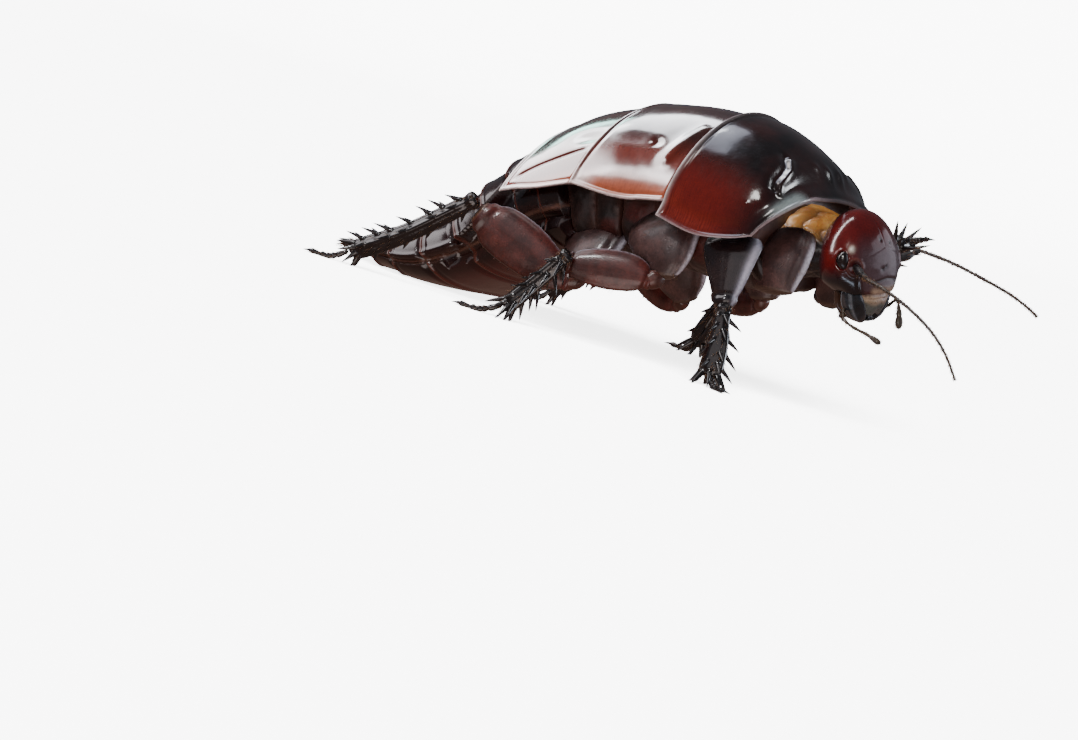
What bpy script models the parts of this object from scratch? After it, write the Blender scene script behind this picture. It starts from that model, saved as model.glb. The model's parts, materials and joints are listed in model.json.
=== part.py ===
"""Rhinoceros cockroach (Macropanesthia rhinoceros) at life size, as a still museum model.

It stands on five feet with the left fore leg raised beside the head and the tip of the abdomen laid down.
+X is the insect's forward, +Y its left, +Z up, and the feet stand on z = 0. Sizes below are in millimetres.
"""

import math
import random

import bmesh
import bpy
from mathutils import Vector

MM = 0.001
GAP = 0.3
SEED = 7

# Trunk sections from the front lip to the tail: x and z of the point on the back, backward lean in degrees,
# height above the rim line, depth below it, and half width at the rim line.
STATIONS = (
    (18.4, 24.8, -12.0, 5.0, 4.6, 12.0),
    (16.5, 27.4, -8.0, 7.9, 5.4, 13.4),
    (13.8, 29.8, -3.0, 10.9, 6.0, 14.5),
    (8.1, 31.9, 0.0, 13.6, 6.4, 15.0),
    (3.5, 32.5, 2.0, 13.9, 6.8, 14.8),
    (-2.5, 32.1, 8.0, 13.4, 6.9, 14.6),
    (-6.0, 31.4, 12.0, 13.1, 6.9, 14.7),
    (-10.0, 30.3, 16.0, 12.7, 6.8, 14.9),
    (-17.0, 27.1, 25.0, 11.4, 6.4, 14.9),
    (-24.0, 21.3, 38.0, 9.4, 5.8, 14.2),
    (-29.2, 15.2, 50.0, 7.9, 5.4, 13.2),
    (-33.4, 10.2, 48.0, 6.6, 4.7, 12.4),
    (-37.4, 7.1, 34.0, 5.2, 3.5, 11.5),
    (-41.2, 5.7, 18.0, 3.7, 2.3, 10.0),
    (-44.6, 4.9, 9.0, 2.9, 2.1, 7.7),
    (-47.8, 4.1, 4.0, 2.2, 1.8, 4.4),
)
TOP_POWER = 2.1
BELLY_POWER = 2.7

PLATE_THICK = 1.0
PLATE_STEP = 0.45
HOOD_FRONT = 18.1
HOOD_FRONT_ROUND = -1.8
HOOD_HIND = 3.6
HOOD_HIND_SWEEP = -2.6
MESO_HIND = -9.4
MESO_HIND_SWEEP = -7.0
META_HIND = -19.4
META_HIND_SWEEP = -11.2
# Turn at which each plate's rim lies at its front and hind end, and how much lower it hangs between them.
HOOD_REACH = (94.0, 94.0, 3.0)
MESO_REACH = (86.0, 85.0, 5.0)
META_REACH = (85.0, 71.0, 4.5)
HOOD_RIM = 0.35
# Pits and bosses on both sides of the hood: x, turn, spread and height.
HOOD_MARKS = (
    (14.0, 42.0, 1.4, -0.80),
    (15.6, 52.0, 1.2, -0.60),
    (12.2, 47.0, 1.7, 0.45),
    (14.8, 67.0, 1.1, -0.40),
    (15.4, 7.0, 1.5, 0.60),
    (12.4, 20.0, 2.4, -0.35),
)
CORE_SHARE_TOP = 0.885
CORE_SHARE_SIDE = 0.76
CORE_FRONT = 14.2
CORE_JOINTS = (2.6, -9.6, -19.2)
ABDOMEN_JOINTS = (-19.2, -22.6, -26.0, -29.2, -32.4, -36.0, -39.8, -43.2)
JOINT_GAP = 0.45
TERGITE_STEP = 0.4

HEAD_CENTRE = Vector((22.3, 0.0, 18.9))
HEAD_LEAN = 10.6
HEAD_YAW = -12.0
HEAD_ROLL = 14.0
HEAD_DEEP = 4.5
HEAD_WIDE = 5.25
HEAD_TALL = 6.75
HEAD_LOW = -3.5
EYE_TURN = 72.0
EYE_RISE = 1.4
EYE_SIZE = (0.85, 1.0, 1.75)
SOCKET_TURN = 52.0
SOCKET_RISE = 0.2
FEELER_SIDES = 6
FEELER_STEPS = 26
FEELER_ROOT = 0.62
FEELER_STEM = 0.33
FEELER_TIP = 0.25
# Where the feelers and the palps of the upper jaws pass.
FEELERS = {
    "right": ((26.9, -5.8, 17.6), (30.2, -6.3, 17.0), (34.0, -7.0, 15.9), (37.8, -7.6, 14.3),
              (40.9, -8.1, 12.2), (43.4, -8.5, 9.6)),
    "left": ((27.0, 5.2, 22.5), (31.6, 5.6, 22.2), (36.1, 6.2, 21.4), (39.3, 6.7, 20.7),
             (41.7, 7.1, 19.9), (43.6, 7.4, 19.0)),
}
PALPS = {
    "right": ((22.9, -1.6, 13.4), (24.2, -3.2, 12.1), (26.0, -3.6, 11.5), (28.0, -3.6, 11.2),
              (29.8, -3.5, 10.7)),
    "left": ((25.0, 2.8, 13.8), (26.0, 4.2, 13.9), (26.6, 4.4, 14.9), (27.3, 4.2, 14.0), (27.9, 4.0, 12.9)),
}
PALP_THICK = (0.42, 0.36, 0.32, 0.34, 0.40)

SIDES = {"right": -1.0, "left": 1.0}

# Colour, roughness and metallic value of each kind of surface.
FINISHES = {
    "back_plate": ((0.050, 0.012, 0.009), 0.16, 0.0),
    "side_body": ((0.085, 0.034, 0.026), 0.30, 0.0),
    "abdomen": ((0.040, 0.010, 0.008), 0.20, 0.0),
    "head": ((0.095, 0.012, 0.012), 0.14, 0.0),
    "face_plate": ((0.420, 0.270, 0.160), 0.35, 0.0),
    "jaw": ((0.020, 0.022, 0.026), 0.22, 0.0),
    "eye": ((0.008, 0.007, 0.008), 0.08, 0.0),
    "feeler": ((0.090, 0.070, 0.055), 0.50, 0.0),
    "membrane": ((0.480, 0.230, 0.080), 0.45, 0.0),
    "coxa": ((0.110, 0.050, 0.042), 0.25, 0.0),
    "femur": ((0.100, 0.036, 0.030), 0.20, 0.0),
    "tibia": ((0.012, 0.010, 0.011), 0.25, 0.0),
}


def clear_scene():
    for obj in list(bpy.data.objects):
        bpy.data.objects.remove(obj, do_unlink=True)


def lerp(a, b, share):
    return a + (b - a) * share


def smooth_step(value):
    value = min(max(value, 0.0), 1.0)
    return value * value * (3.0 - 2.0 * value)


def spread(first, last, count):
    return [lerp(first, last, i / (count - 1)) for i in range(count)]


def cubic(rows, place):
    """A smooth value through rows of numbers at a place given as row number and fraction."""
    i = min(int(place), len(rows) - 2)
    t = place - i
    before, after = rows[max(i - 1, 0)], rows[min(i + 2, len(rows) - 1)]
    start, end = rows[i], rows[i + 1]
    t2, t3 = t * t, t * t * t
    result = []
    for p, a, b, n in zip(before, start, end, after):
        slope_a, slope_b = 0.5 * (b - p), 0.5 * (n - a)
        value = (2 * t3 - 3 * t2 + 1) * a + (3 * t2 - 2 * t3) * b
        result.append(value + (t3 - 2 * t2 + t) * slope_a + (t3 - t2) * slope_b)
    return result


def finish_of(name, finish):
    colour, roughness, metallic = FINISHES[finish]
    material = bpy.data.materials.new("mat_" + name)
    material.use_nodes = True
    shader = material.node_tree.nodes["Principled BSDF"]
    shader.inputs["Base Color"].default_value = (*colour, 1.0)
    shader.inputs["Roughness"].default_value = roughness
    shader.inputs["Metallic"].default_value = metallic
    material.diffuse_color = (*colour, 1.0)
    return material


def new_object(name, points, faces, finish=None):
    mesh = bpy.data.meshes.new(name)
    mesh.from_pydata([tuple(Vector(p) * MM) for p in points], [], faces)
    work = bmesh.new()
    work.from_mesh(mesh)
    bmesh.ops.recalc_face_normals(work, faces=work.faces)
    work.to_mesh(mesh)
    work.free()
    obj = bpy.data.objects.new(name, mesh)
    bpy.context.scene.collection.objects.link(obj)
    if finish:
        mesh.materials.append(finish_of(name, finish))
    return obj


def loft(name, rings, finish=None):
    """A closed body through rings of points, its two ends closed by fans. A ring of one point is a tip."""
    points, faces, starts = [], [], []
    for ring in rings:
        starts.append(len(points))
        points.extend(ring)
    for (a, ring), (b, after) in zip(zip(starts, rings), list(zip(starts, rings))[1:]):
        count = max(len(ring), len(after))
        for i in range(count):
            j = (i + 1) % count
            if len(ring) == 1:
                faces.append((a, b + i, b + j))
            elif len(after) == 1:
                faces.append((a + j, a + i, b))
            else:
                faces.append((a + i, a + j, b + j, b + i))
    for start, ring in ((starts[0], rings[0]), (starts[-1], rings[-1])):
        if len(ring) > 1:
            middle = sum((Vector(p) for p in ring), Vector()) / len(ring)
            points.append(middle)
            for i in range(len(ring)):
                faces.append((start + i, start + (i + 1) % len(ring), len(points) - 1))
    return new_object(name, points, faces, finish)


def is_solid(mesh):
    """Whether a mesh is closed and holds more than two faces laid back to back."""
    work = bmesh.new()
    work.from_mesh(mesh)
    closed = len(work.faces) > 3 and all(edge.is_manifold for edge in work.edges)
    work.free()
    return closed


def boolean(obj, operation, other):
    """Applies a Boolean with an object or a collection, by the second solver where the first leaves holes."""
    for solver in ("EXACT", "MANIFOLD"):
        change = obj.modifiers.new("change", "BOOLEAN")
        change.operation = operation
        change.solver = solver
        if isinstance(other, bpy.types.Collection):
            change.operand_type = "COLLECTION"
            change.collection = other
        else:
            change.object = other
        graph = bpy.context.evaluated_depsgraph_get()
        mesh = bpy.data.meshes.new_from_object(obj.evaluated_get(graph))
        obj.modifiers.clear()
        if is_solid(mesh):
            break
    obj.data = mesh


def keep_largest(obj):
    """Keeps only the largest closed surface of a mesh."""
    work = bmesh.new()
    work.from_mesh(obj.data)
    left, shells = set(work.verts), []
    while left:
        stack, shell = [left.pop()], set()
        while stack:
            vert = stack.pop()
            shell.add(vert)
            for edge in vert.link_edges:
                other = edge.other_vert(vert)
                if other in left:
                    left.remove(other)
                    stack.append(other)
        shells.append(shell)
    shells.sort(key=lambda shell: sum(face.calc_area() for vert in shell for face in vert.link_faces))
    for shell in shells[:-1]:
        bmesh.ops.delete(work, geom=list(shell), context="VERTS")
    work.to_mesh(obj.data)
    work.free()


def fuse(obj, pieces):
    """Joins closed pieces to an object by one Boolean union on a collection, then removes them."""
    group = bpy.data.collections.new("pieces of " + obj.name)
    bpy.context.scene.collection.children.link(group)
    for piece in pieces:
        bpy.context.scene.collection.objects.unlink(piece)
        group.objects.link(piece)
    boolean(obj, "UNION", group)
    for piece in pieces:
        bpy.data.objects.remove(piece, do_unlink=True)
    bpy.data.collections.remove(group)
    keep_largest(obj)


def cut_clear(obj, neighbours, gap=GAP):
    """Cuts away whatever lies nearer than the gap to a neighbour, so that the two meet face to face."""
    for neighbour in neighbours:
        cutter = neighbour.copy()
        cutter.data = neighbour.data.copy()
        bpy.context.scene.collection.objects.link(cutter)
        normals = [vert.normal.copy() for vert in cutter.data.vertices]
        for vert, normal in zip(cutter.data.vertices, normals):
            vert.co += normal * gap * MM
        boolean(obj, "DIFFERENCE", cutter)
        bpy.data.objects.remove(cutter, do_unlink=True)
    keep_largest(obj)


def station(x):
    """Height, lean, top, belly depth and half width of the trunk where its back is at x."""
    xs = [row[0] for row in STATIONS]
    i = 0
    while i < len(xs) - 2 and x < xs[i + 1]:
        i += 1
    return cubic([row[1:] for row in STATIONS], i + (xs[i] - x) / (xs[i] - xs[i + 1]))


def trunk_point(x, turn, inset=0.0, share=1.0, stretch=1.0):
    """A point of the trunk. turn runs from 0 on the back over 90 at the left rim to 180 below."""
    height, lean, top, belly, half = station(x)
    up = Vector((-math.sin(math.radians(lean)), 0.0, math.cos(math.radians(lean))))
    centre = Vector((x, 0.0, height)) - up * top
    sine, cosine = math.sin(math.radians(turn)), math.cos(math.radians(turn))
    power = TOP_POWER if cosine >= 0.0 else BELLY_POWER
    tall = top if cosine >= 0.0 else belly
    side = math.copysign(abs(sine) ** (2.0 / power), sine)
    rise = math.copysign(abs(cosine) ** (2.0 / power), cosine)
    across = math.copysign(abs(sine) ** (2.0 - 2.0 / power), sine) / half
    above = math.copysign(abs(cosine) ** (2.0 - 2.0 / power), cosine) / tall
    length = math.hypot(across, above)
    offset = Vector((0.0, half * side * stretch, 0.0)) + up * (tall * rise)
    normal = Vector((0.0, across / length, 0.0)) + up * (above / length)
    return centre + offset * share - normal * inset


def swept(middle, sweep, turn):
    """Station of a plate's margin, which bends from the midline towards the rim."""
    return middle + sweep * min(abs(turn) / 90.0, 1.1) ** 2


def hood_relief(x, turn):
    """Height of the hood's pits and bosses at a place."""
    total = 0.0
    for place, angle, wide, tall in HOOD_MARKS:
        away = math.hypot(x - place, (abs(turn) - angle) * 0.25)
        total += tall * math.exp(-(away / wide) ** 2)
    return total


def back_plate(name, front, hind, reach, rows, columns, relief=None, rim=0.0):
    """A curved shell on the back between two margins, given as functions of the turn."""
    grids = []
    for inner in (False, True):
        points = []
        for row in range(rows):
            u = row / (rows - 1)
            rim_turn = lerp(reach[0], reach[1], u) + reach[2] * math.sin(math.pi * u)
            for share in spread(-1.0, 1.0, columns):
                turn = share * rim_turn
                x = lerp(front(turn), hind(turn), u)
                edge = min((1.0 - u) * (rows - 1), (1.0 - abs(share)) / 2.0 * (columns - 1))
                lift = PLATE_STEP * u + rim * max(0.0, 1.0 - edge)
                if relief:
                    lift += relief(x, turn)
                points.append(trunk_point(x, turn, PLATE_THICK if inner else -lift))
        grids.append(points)
    points = grids[0] + grids[1]
    base = rows * columns
    faces = []
    for row in range(rows - 1):
        for column in range(columns - 1):
            a = row * columns + column
            quad = (a, a + 1, a + columns + 1, a + columns)
            faces.append(quad)
            faces.append(tuple(base + i for i in reversed(quad)))
    border = [column for column in range(columns)]
    border += [row * columns + columns - 1 for row in range(1, rows)]
    border += [(rows - 1) * columns + column for column in range(columns - 2, -1, -1)]
    border += [row * columns for row in range(rows - 2, 0, -1)]
    for a, b in zip(border, border[1:] + border[:1]):
        faces.append((a, base + a, base + b, b))
    return new_object(name, points, faces, "back_plate")


def hood_front(turn):
    return HOOD_FRONT + HOOD_FRONT_ROUND * (abs(turn) / 90.0) ** 5


def hood_hind(turn):
    return swept(HOOD_HIND, HOOD_HIND_SWEEP, turn)


def meso_front(turn):
    return hood_hind(turn) - JOINT_GAP


def meso_hind(turn):
    return swept(MESO_HIND, MESO_HIND_SWEEP, turn)


def meta_front(turn):
    return meso_hind(turn) - JOINT_GAP


def meta_hind(turn):
    return swept(META_HIND, META_HIND_SWEEP, turn)


def make_back_plates():
    hood = back_plate("pronotum", hood_front, hood_hind, HOOD_REACH, 13, 25, hood_relief, HOOD_RIM)
    meso = back_plate("mesonotum", meso_front, meso_hind, MESO_REACH, 7, 21)
    meta = back_plate("metanotum", meta_front, meta_hind, META_REACH, 6, 21)
    return [hood, meso, meta]


def core_share(turn):
    """The thorax under the plates is narrower than they are, most at the rims, and whole below."""
    beside = math.sin(math.radians(min(abs(turn), 180.0 - abs(turn))))
    if abs(turn) <= 90.0:
        return lerp(CORE_SHARE_TOP, CORE_SHARE_SIDE, beside ** 3)
    return lerp(1.0, CORE_SHARE_SIDE, beside ** 3)


def thorax_core(name, first, last):
    turns = [i * 15.0 - 180.0 for i in range(24)]
    rings = [[trunk_point(x, turn, share=core_share(turn)) for turn in turns] for x in spread(first, last, 5)]
    return loft(name, rings, "side_body")


def make_thorax():
    front, cores = CORE_FRONT, []
    for name, joint in zip(("prothorax", "mesothorax", "metathorax"), CORE_JOINTS):
        cores.append(thorax_core(name, front, joint + JOINT_GAP / 2.0))
        front = joint - JOINT_GAP / 2.0
    return cores


def under_lobe(x, turn):
    """How far the abdomen's side lies in, where the last back plate's lobes cover it."""
    covered = smooth_step((x - meta_hind(turn) + 1.8) / 1.5)
    return covered * (PLATE_THICK + 2.0 * GAP)


def abdomen_ring(x, u):
    ring = []
    for i in range(24):
        turn = i * 15.0 - 180.0
        step = TERGITE_STEP * (u - 0.5) * 2.0
        inset = under_lobe(x, turn) if abs(turn) < 120.0 else 0.0
        corner = 1.0 + 0.035 * u * max(0.0, 1.0 - abs(abs(turn) - 90.0) / 20.0)
        if inset > 0.2:
            step, corner = 0.0, 1.0
        point = trunk_point(x, turn, inset - step, stretch=corner)
        point.z = max(point.z, 0.0)
        ring.append(point)
    return ring


def make_abdomen():
    segments = []
    for number, (first, last) in enumerate(zip(ABDOMEN_JOINTS, ABDOMEN_JOINTS[1:]), 1):
        shares = (0.0, 0.15, 0.6, 0.92, 1.0)
        front, hind = first - JOINT_GAP / 2.0, last + JOINT_GAP / 2.0
        rings = [abdomen_ring(lerp(front, hind, u), u if u < 1.0 else 0.75) for u in shares]
        segments.append(loft("abdomen_%d" % number, rings, "abdomen"))
    return segments


def make_tail():
    """The supra-anal plate closes the abdomen, and a short cercus stands out under each side of it."""
    front = ABDOMEN_JOINTS[-1] - JOINT_GAP / 2.0
    rings = []
    for x, share in ((front, 0.96), (-44.8, 0.98), (-46.4, 0.92), (-47.6, 0.74), (-48.1, 0.40)):
        ring = [trunk_point(x, i * 20.0 - 180.0, share=share) for i in range(18)]
        for point in ring:
            point.z = max(point.z, 0.0)
        rings.append(ring)
    tail = [loft("supra_anal_plate", rings, "abdomen")]
    for side, sign in SIDES.items():
        root = trunk_point(-44.8, 100.0 * sign, inset=0.6)
        out = Vector((-0.75, 0.62 * sign, -0.10)).normalized()
        rows = [(*(root + out * along), wide, wide) for along, wide in
                ((0.0, 0.75), (1.0, 0.95), (2.2, 0.80), (3.2, 0.45), (3.7, 0.12))]
        cercus = limb("cercus_" + side, rows, Vector((0.0, 0.0, 1.0)), 8, 6, "abdomen")
        cut_clear(cercus, tail[:1])
        tail.append(cercus)
    return tail


def limb(name, rows, broad, sides, steps, finish=None):
    """A limb's segment through rows of x, y, z and two half sizes, the first along the broad direction."""
    samples = [cubic(rows, place) for place in spread(0.0, len(rows) - 1.0, steps)]
    centres = [Vector(sample[:3]) for sample in samples]
    rings = []
    for i, (centre, sample) in enumerate(zip(centres, samples)):
        along = (centres[min(i + 1, steps - 1)] - centres[max(i - 1, 0)]).normalized()
        wide = (broad - along * broad.dot(along)).normalized()
        thin = along.cross(wide)
        ring = []
        for k in range(sides):
            angle = 2.0 * math.pi * (k + 0.5) / sides
            ring.append(centre + wide * (sample[3] * math.cos(angle)) + thin * (sample[4] * math.sin(angle)))
        rings.append(ring)
    return loft(name, rings, finish)


def spine(root, direction, length, radius, bend):
    """A tapered spine of five sides, bent a little. Its root is sunk in by its own width."""
    direction = direction.normalized()
    beside = direction.orthogonal().normalized()
    other = direction.cross(beside)
    rings = []
    for along, wide in ((-1.2 * radius, 1.0), (0.5 * length, 0.62)):
        middle = root + direction * along + bend * (max(along, 0.0) / length) ** 2
        rings.append([middle + (beside * math.cos(a) + other * math.sin(a)) * radius * wide
                      for a in (2.0 * math.pi * k / 5.0 for k in range(5))])
    rings.append([root + direction * length + bend])
    return loft("spine", rings)


def head_axes():
    """The head's own forward, left and up: it leans back, looks to its right and raises its left side."""
    lean, yaw, roll = math.radians(HEAD_LEAN), math.radians(HEAD_YAW), math.radians(HEAD_ROLL)
    up = Vector((-math.sin(lean), 0.0, math.cos(lean)))
    level = Vector((math.cos(lean), 0.0, math.sin(lean)))
    aside = Vector((0.0, 1.0, 0.0))
    ahead = level * math.cos(yaw) + aside * math.sin(yaw)
    left = aside * math.cos(yaw) - level * math.sin(yaw)
    return ahead, left * math.cos(roll) + up * math.sin(roll), up * math.cos(roll) - left * math.sin(roll)


AHEAD, LEFT, UPWARD = head_axes()


def head_place(forward, leftward, upward):
    return HEAD_CENTRE + AHEAD * forward + LEFT * leftward + UPWARD * upward


def head_half(rise):
    """Half depth and half width of the head at a height over its centre."""
    if rise >= 0.0:
        round_off = math.sqrt(max(0.0, 1.0 - (rise / HEAD_TALL) ** 2))
        return HEAD_DEEP * round_off, HEAD_WIDE * round_off
    down = -rise / HEAD_TALL
    return HEAD_DEEP * (1.0 - 0.35 * down ** 1.6), HEAD_WIDE * (1.0 - 0.75 * down ** 1.7)


def head_surface(turn, rise):
    """A point on the head. turn runs from 0 at the face over 90 at its left side."""
    deep, wide = head_half(rise)
    angle = math.radians(turn)
    ahead = math.copysign(abs(math.cos(angle)) ** 0.9, math.cos(angle))
    return head_place(deep * ahead, wide * math.sin(angle), rise)


def make_head():
    rises = (HEAD_LOW, -2.6, -1.2, 0.4, 2.0, 3.5, 4.8, 5.8, 6.4)
    rings = [[head_surface(i * 15.0, rise) for i in range(24)] for rise in rises]
    rings.append([head_place(0.0, 0.0, HEAD_TALL)])
    return loft("head", rings, "head")


def make_eyes(head):
    """Kidney-shaped eyes sunk into the sides of the head, each in a socket a gap wider than it is."""
    eyes = []
    for side, sign in SIDES.items():
        centre = head_surface(EYE_TURN * sign, EYE_RISE)
        out = (centre - head_place(0.0, 0.0, EYE_RISE)).normalized()
        beside = UPWARD.cross(out).normalized()
        rings = []
        for lift in spread(-80.0, 80.0, 7):
            ring = []
            for k in range(12):
                a = 2.0 * math.pi * k / 12.0
                flat = math.cos(math.radians(lift))
                tall = EYE_SIZE[2] * flat * math.cos(a)
                wide = EYE_SIZE[1] * flat * math.sin(a) - 0.20 * (math.cos(a) * flat) ** 2 * sign
                deep = EYE_SIZE[0] * math.sin(math.radians(lift))
                ring.append(centre + out * deep + UPWARD * tall + beside * wide)
            rings.append(ring)
        eye = loft("eye_" + side, rings, "eye")
        cut_clear(head, [eye])
        eyes.append(eye)
    return eyes


def antenna_path(side, sign):
    """Points of a feeler from its socket, which lies on the head, out to the tip."""
    socket = head_surface(SOCKET_TURN * sign, SOCKET_RISE)
    return socket, [Vector(point) for point in FEELERS[side]]


def make_antennae(head):
    feelers = []
    for side, sign in SIDES.items():
        socket, free = antenna_path(side, sign)
        inward = (HEAD_CENTRE - socket).normalized() * 0.4
        scape = lerp(socket, free[0], 0.55)
        rows = [(*(socket + inward), FEELER_ROOT, FEELER_ROOT), (*scape, 0.58, 0.58)]
        for number, point in enumerate(free):
            thick = lerp(FEELER_STEM, FEELER_TIP, number / (len(free) - 1))
            rows.append((*point, thick, thick))
        broad = Vector((0.0, 0.3, 1.0))
        feeler = limb("antenna_" + side, rows, broad, FEELER_SIDES, FEELER_STEPS, "feeler")
        cut_clear(feeler, [head])
        feelers.append(feeler)
    return feelers


def make_mouth(head):
    """Upper lip in front, a jaw at each side behind it, the lower lip at the back, and the palps."""
    low = HEAD_LOW - GAP
    rows = [(*head_place(2.75, 0.0, low), 2.5, 0.55), (*head_place(2.85, 0.0, low - 1.0), 2.4, 0.60),
            (*head_place(2.6, 0.0, low - 2.1), 1.9, 0.50), (*head_place(2.2, 0.0, low - 2.8), 0.9, 0.25)]
    labrum = limb("labrum", rows, LEFT, 12, 6, "face_plate")
    rows = [(*head_place(-1.7, 0.0, low), 2.6, 0.9), (*head_place(-1.7, 0.0, low - 1.2), 2.5, 0.95),
            (*head_place(-1.4, 0.0, low - 2.4), 1.9, 0.75), (*head_place(-1.1, 0.0, low - 3.0), 1.0, 0.35)]
    labium = limb("labium", rows, LEFT, 12, 6, "jaw")
    mouth = [labrum, labium]
    for side, sign in SIDES.items():
        rows = [(*head_place(0.75, 2.1 * sign, low), 1.35, 1.35),
                (*head_place(0.85, 2.1 * sign, low - 1.0), 1.40, 1.45),
                (*head_place(0.90, 1.65 * sign, low - 2.2), 1.15, 1.15),
                (*head_place(0.85, 1.0 * sign, low - 3.1), 0.6, 0.5)]
        jaw = limb("mandible_" + side, rows, AHEAD, 10, 6, "jaw")
        cut_clear(jaw, mouth[:2])
        mouth.append(jaw)
    cut_clear(mouth[3], [mouth[2]])
    for side, path in PALPS.items():
        rows = [(*point, thick, thick) for point, thick in zip(path, PALP_THICK)]
        tip = Vector(path[-1]) + (Vector(path[-1]) - Vector(path[-2])).normalized() * 0.5
        rows.append((*tip, 0.14, 0.14))
        palp = limb("maxillary_palp_" + side, rows, UPWARD, 6, 14, "feeler")
        cut_clear(palp, mouth[:4])
        mouth.append(palp)
    small = []
    for sign in SIDES.values():
        root = head_place(-1.9, 1.4 * sign, low - 1.9)
        rows = [(*root, 0.36, 0.36), (*(root + UPWARD * -1.3 + AHEAD * 0.3 + LEFT * 0.4 * sign), 0.30, 0.30),
                (*(root + UPWARD * -2.3 + AHEAD * 1.1 + LEFT * 0.3 * sign), 0.22, 0.22)]
        small.append(limb("small palp", rows, AHEAD, 5, 5))
    fuse(labium, small)
    return mouth


def make_neck(head, prothorax):
    rows = [(13.2, 0.0, 19.6, 5.9, 4.5), (15.2, 0.0, 19.8, 5.7, 4.4), (17.2, 0.0, 19.8, 4.6, 4.0),
            (19.6, 0.0, 19.4, 3.9, 3.4)]
    neck = limb("neck", rows, Vector((0.0, 1.0, 0.0)), 16, 7, "membrane")
    cut_clear(neck, [head, prothorax])
    return neck


# Each leg: rows of x, y, z (y outward from the midline) and two half sizes for its coxa, femur and tibia,
# with the broad direction of each, then the points of its foot, and for its spines the number of pairs along
# the shin, the number round its end, and the length of each kind.
LEGS = {
    "fore_right": {
        "coxa": ((15.2, 5.4, 19.4, 3.0, 1.8), (16.2, 7.2, 17.6, 3.5, 2.1), (16.3, 8.0, 14.8, 3.1, 1.8),
                 (15.2, 8.4, 12.2, 2.0, 1.1)),
        "coxa_broad": (1.0, 0.0, 0.25),
        "femur": ((10.4, 9.8, 18.0, 2.9, 1.2), (11.1, 11.2, 16.2, 3.7, 1.6), (12.3, 12.2, 12.8, 2.5, 1.4),
                  (13.3, 12.9, 9.6, 1.2, 1.0)),
        "femur_broad": (1.0, 0.0, 0.0),
        "tibia": ((13.7, 13.5, 9.5, 1.0, 0.9), (14.3, 14.0, 7.4, 1.1, 1.0), (15.0, 14.6, 4.6, 1.5, 1.1),
                  (15.3, 15.1, 2.2, 1.7, 1.1), (15.3, 15.2, 1.4, 1.2, 0.8)),
        "tibia_broad": (1.0, 0.2, 0.0),
        "tarsus": ((15.8, 15.7, 1.5), (16.7, 16.4, 0.8), (17.7, 17.2, 0.30), (19.2, 18.0, 0.32)),
        "spines": (3, 5, 2.0, 2.8),
    },
    "mid_right": {
        "coxa": ((-0.4, 9.0, 17.6, 4.6, 1.6), (1.4, 11.2, 15.8, 4.9, 1.9), (3.0, 12.4, 13.2, 3.8, 1.7),
                 (3.6, 12.8, 10.8, 2.0, 1.1)),
        "coxa_broad": (1.0, 0.0, 0.4),
        "femur": ((2.9, 13.8, 9.6, 1.1, 0.9), (0.8, 14.7, 9.8, 2.2, 1.2), (-2.6, 15.9, 9.3, 2.4, 1.35),
                  (-5.6, 17.1, 8.9, 1.8, 1.15), (-7.0, 17.9, 9.0, 1.0, 0.9)),
        "femur_broad": (0.0, 0.0, 1.0),
        "tibia": ((-6.2, 19.2, 9.9, 0.95, 0.9), (-7.4, 19.5, 8.0, 1.0, 0.95), (-9.4, 20.0, 5.0, 1.15, 1.0),
                  (-11.0, 20.5, 2.6, 1.3, 1.05), (-11.6, 20.7, 1.7, 1.0, 0.8)),
        "tibia_broad": (1.0, 0.0, 0.6),
        "tarsus": ((-12.2, 21.1, 1.5), (-13.4, 21.7, 0.8), (-14.7, 22.2, 0.30), (-16.8, 22.8, 0.32)),
        "spines": (4, 6, 2.2, 3.0),
    },
    "hind_right": {
        "coxa": ((-9.4, 7.6, 13.8, 4.4, 1.7), (-8.8, 9.8, 11.6, 4.4, 2.0), (-8.0, 11.6, 9.0, 3.2, 1.7),
                 (-7.4, 12.4, 7.4, 1.8, 1.1)),
        "coxa_broad": (1.0, 0.0, 0.4),
        "femur": ((-8.6, 13.4, 6.4, 1.3, 0.9), (-11.4, 14.3, 7.1, 2.5, 1.2), (-15.2, 15.6, 8.7, 3.2, 1.5),
                  (-18.8, 17.0, 10.1, 3.0, 1.4), (-21.0, 18.2, 11.3, 1.6, 1.0)),
        "femur_broad": (0.0, 0.0, 1.0),
        "tibia": ((-21.6, 19.3, 12.8, 1.0, 0.9), (-24.4, 19.6, 10.4, 1.05, 0.95),
                  (-29.6, 20.1, 6.2, 1.1, 1.0), (-34.8, 20.6, 2.9, 1.25, 1.05), (-36.4, 20.8, 2.0, 1.0, 0.8)),
        "tibia_broad": (0.4, 0.0, 1.0),
        "tarsus": ((-37.1, 21.0, 1.6), (-38.2, 21.4, 0.8), (-39.5, 21.8, 0.30), (-41.4, 22.4, 0.32)),
        "spines": (6, 5, 2.2, 2.6),
    },
}


def mirrored(leg, shift, turned):
    """The leg of the other side, with its foot shifted along x and its knee by part of that."""
    other = dict(leg)
    other["femur"] = tuple((r[0] + shift * 0.35 * i / 4.0, *r[1:]) for i, r in enumerate(leg["femur"]))
    other["tibia"] = tuple((r[0] + shift * (0.35 + 0.65 * i / 4.0), r[1] + turned * i / 4.0, *r[2:])
                           for i, r in enumerate(leg["tibia"]))
    other["tarsus"] = tuple((p[0] + shift, p[1] + turned, p[2]) for p in leg["tarsus"])
    return other


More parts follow.
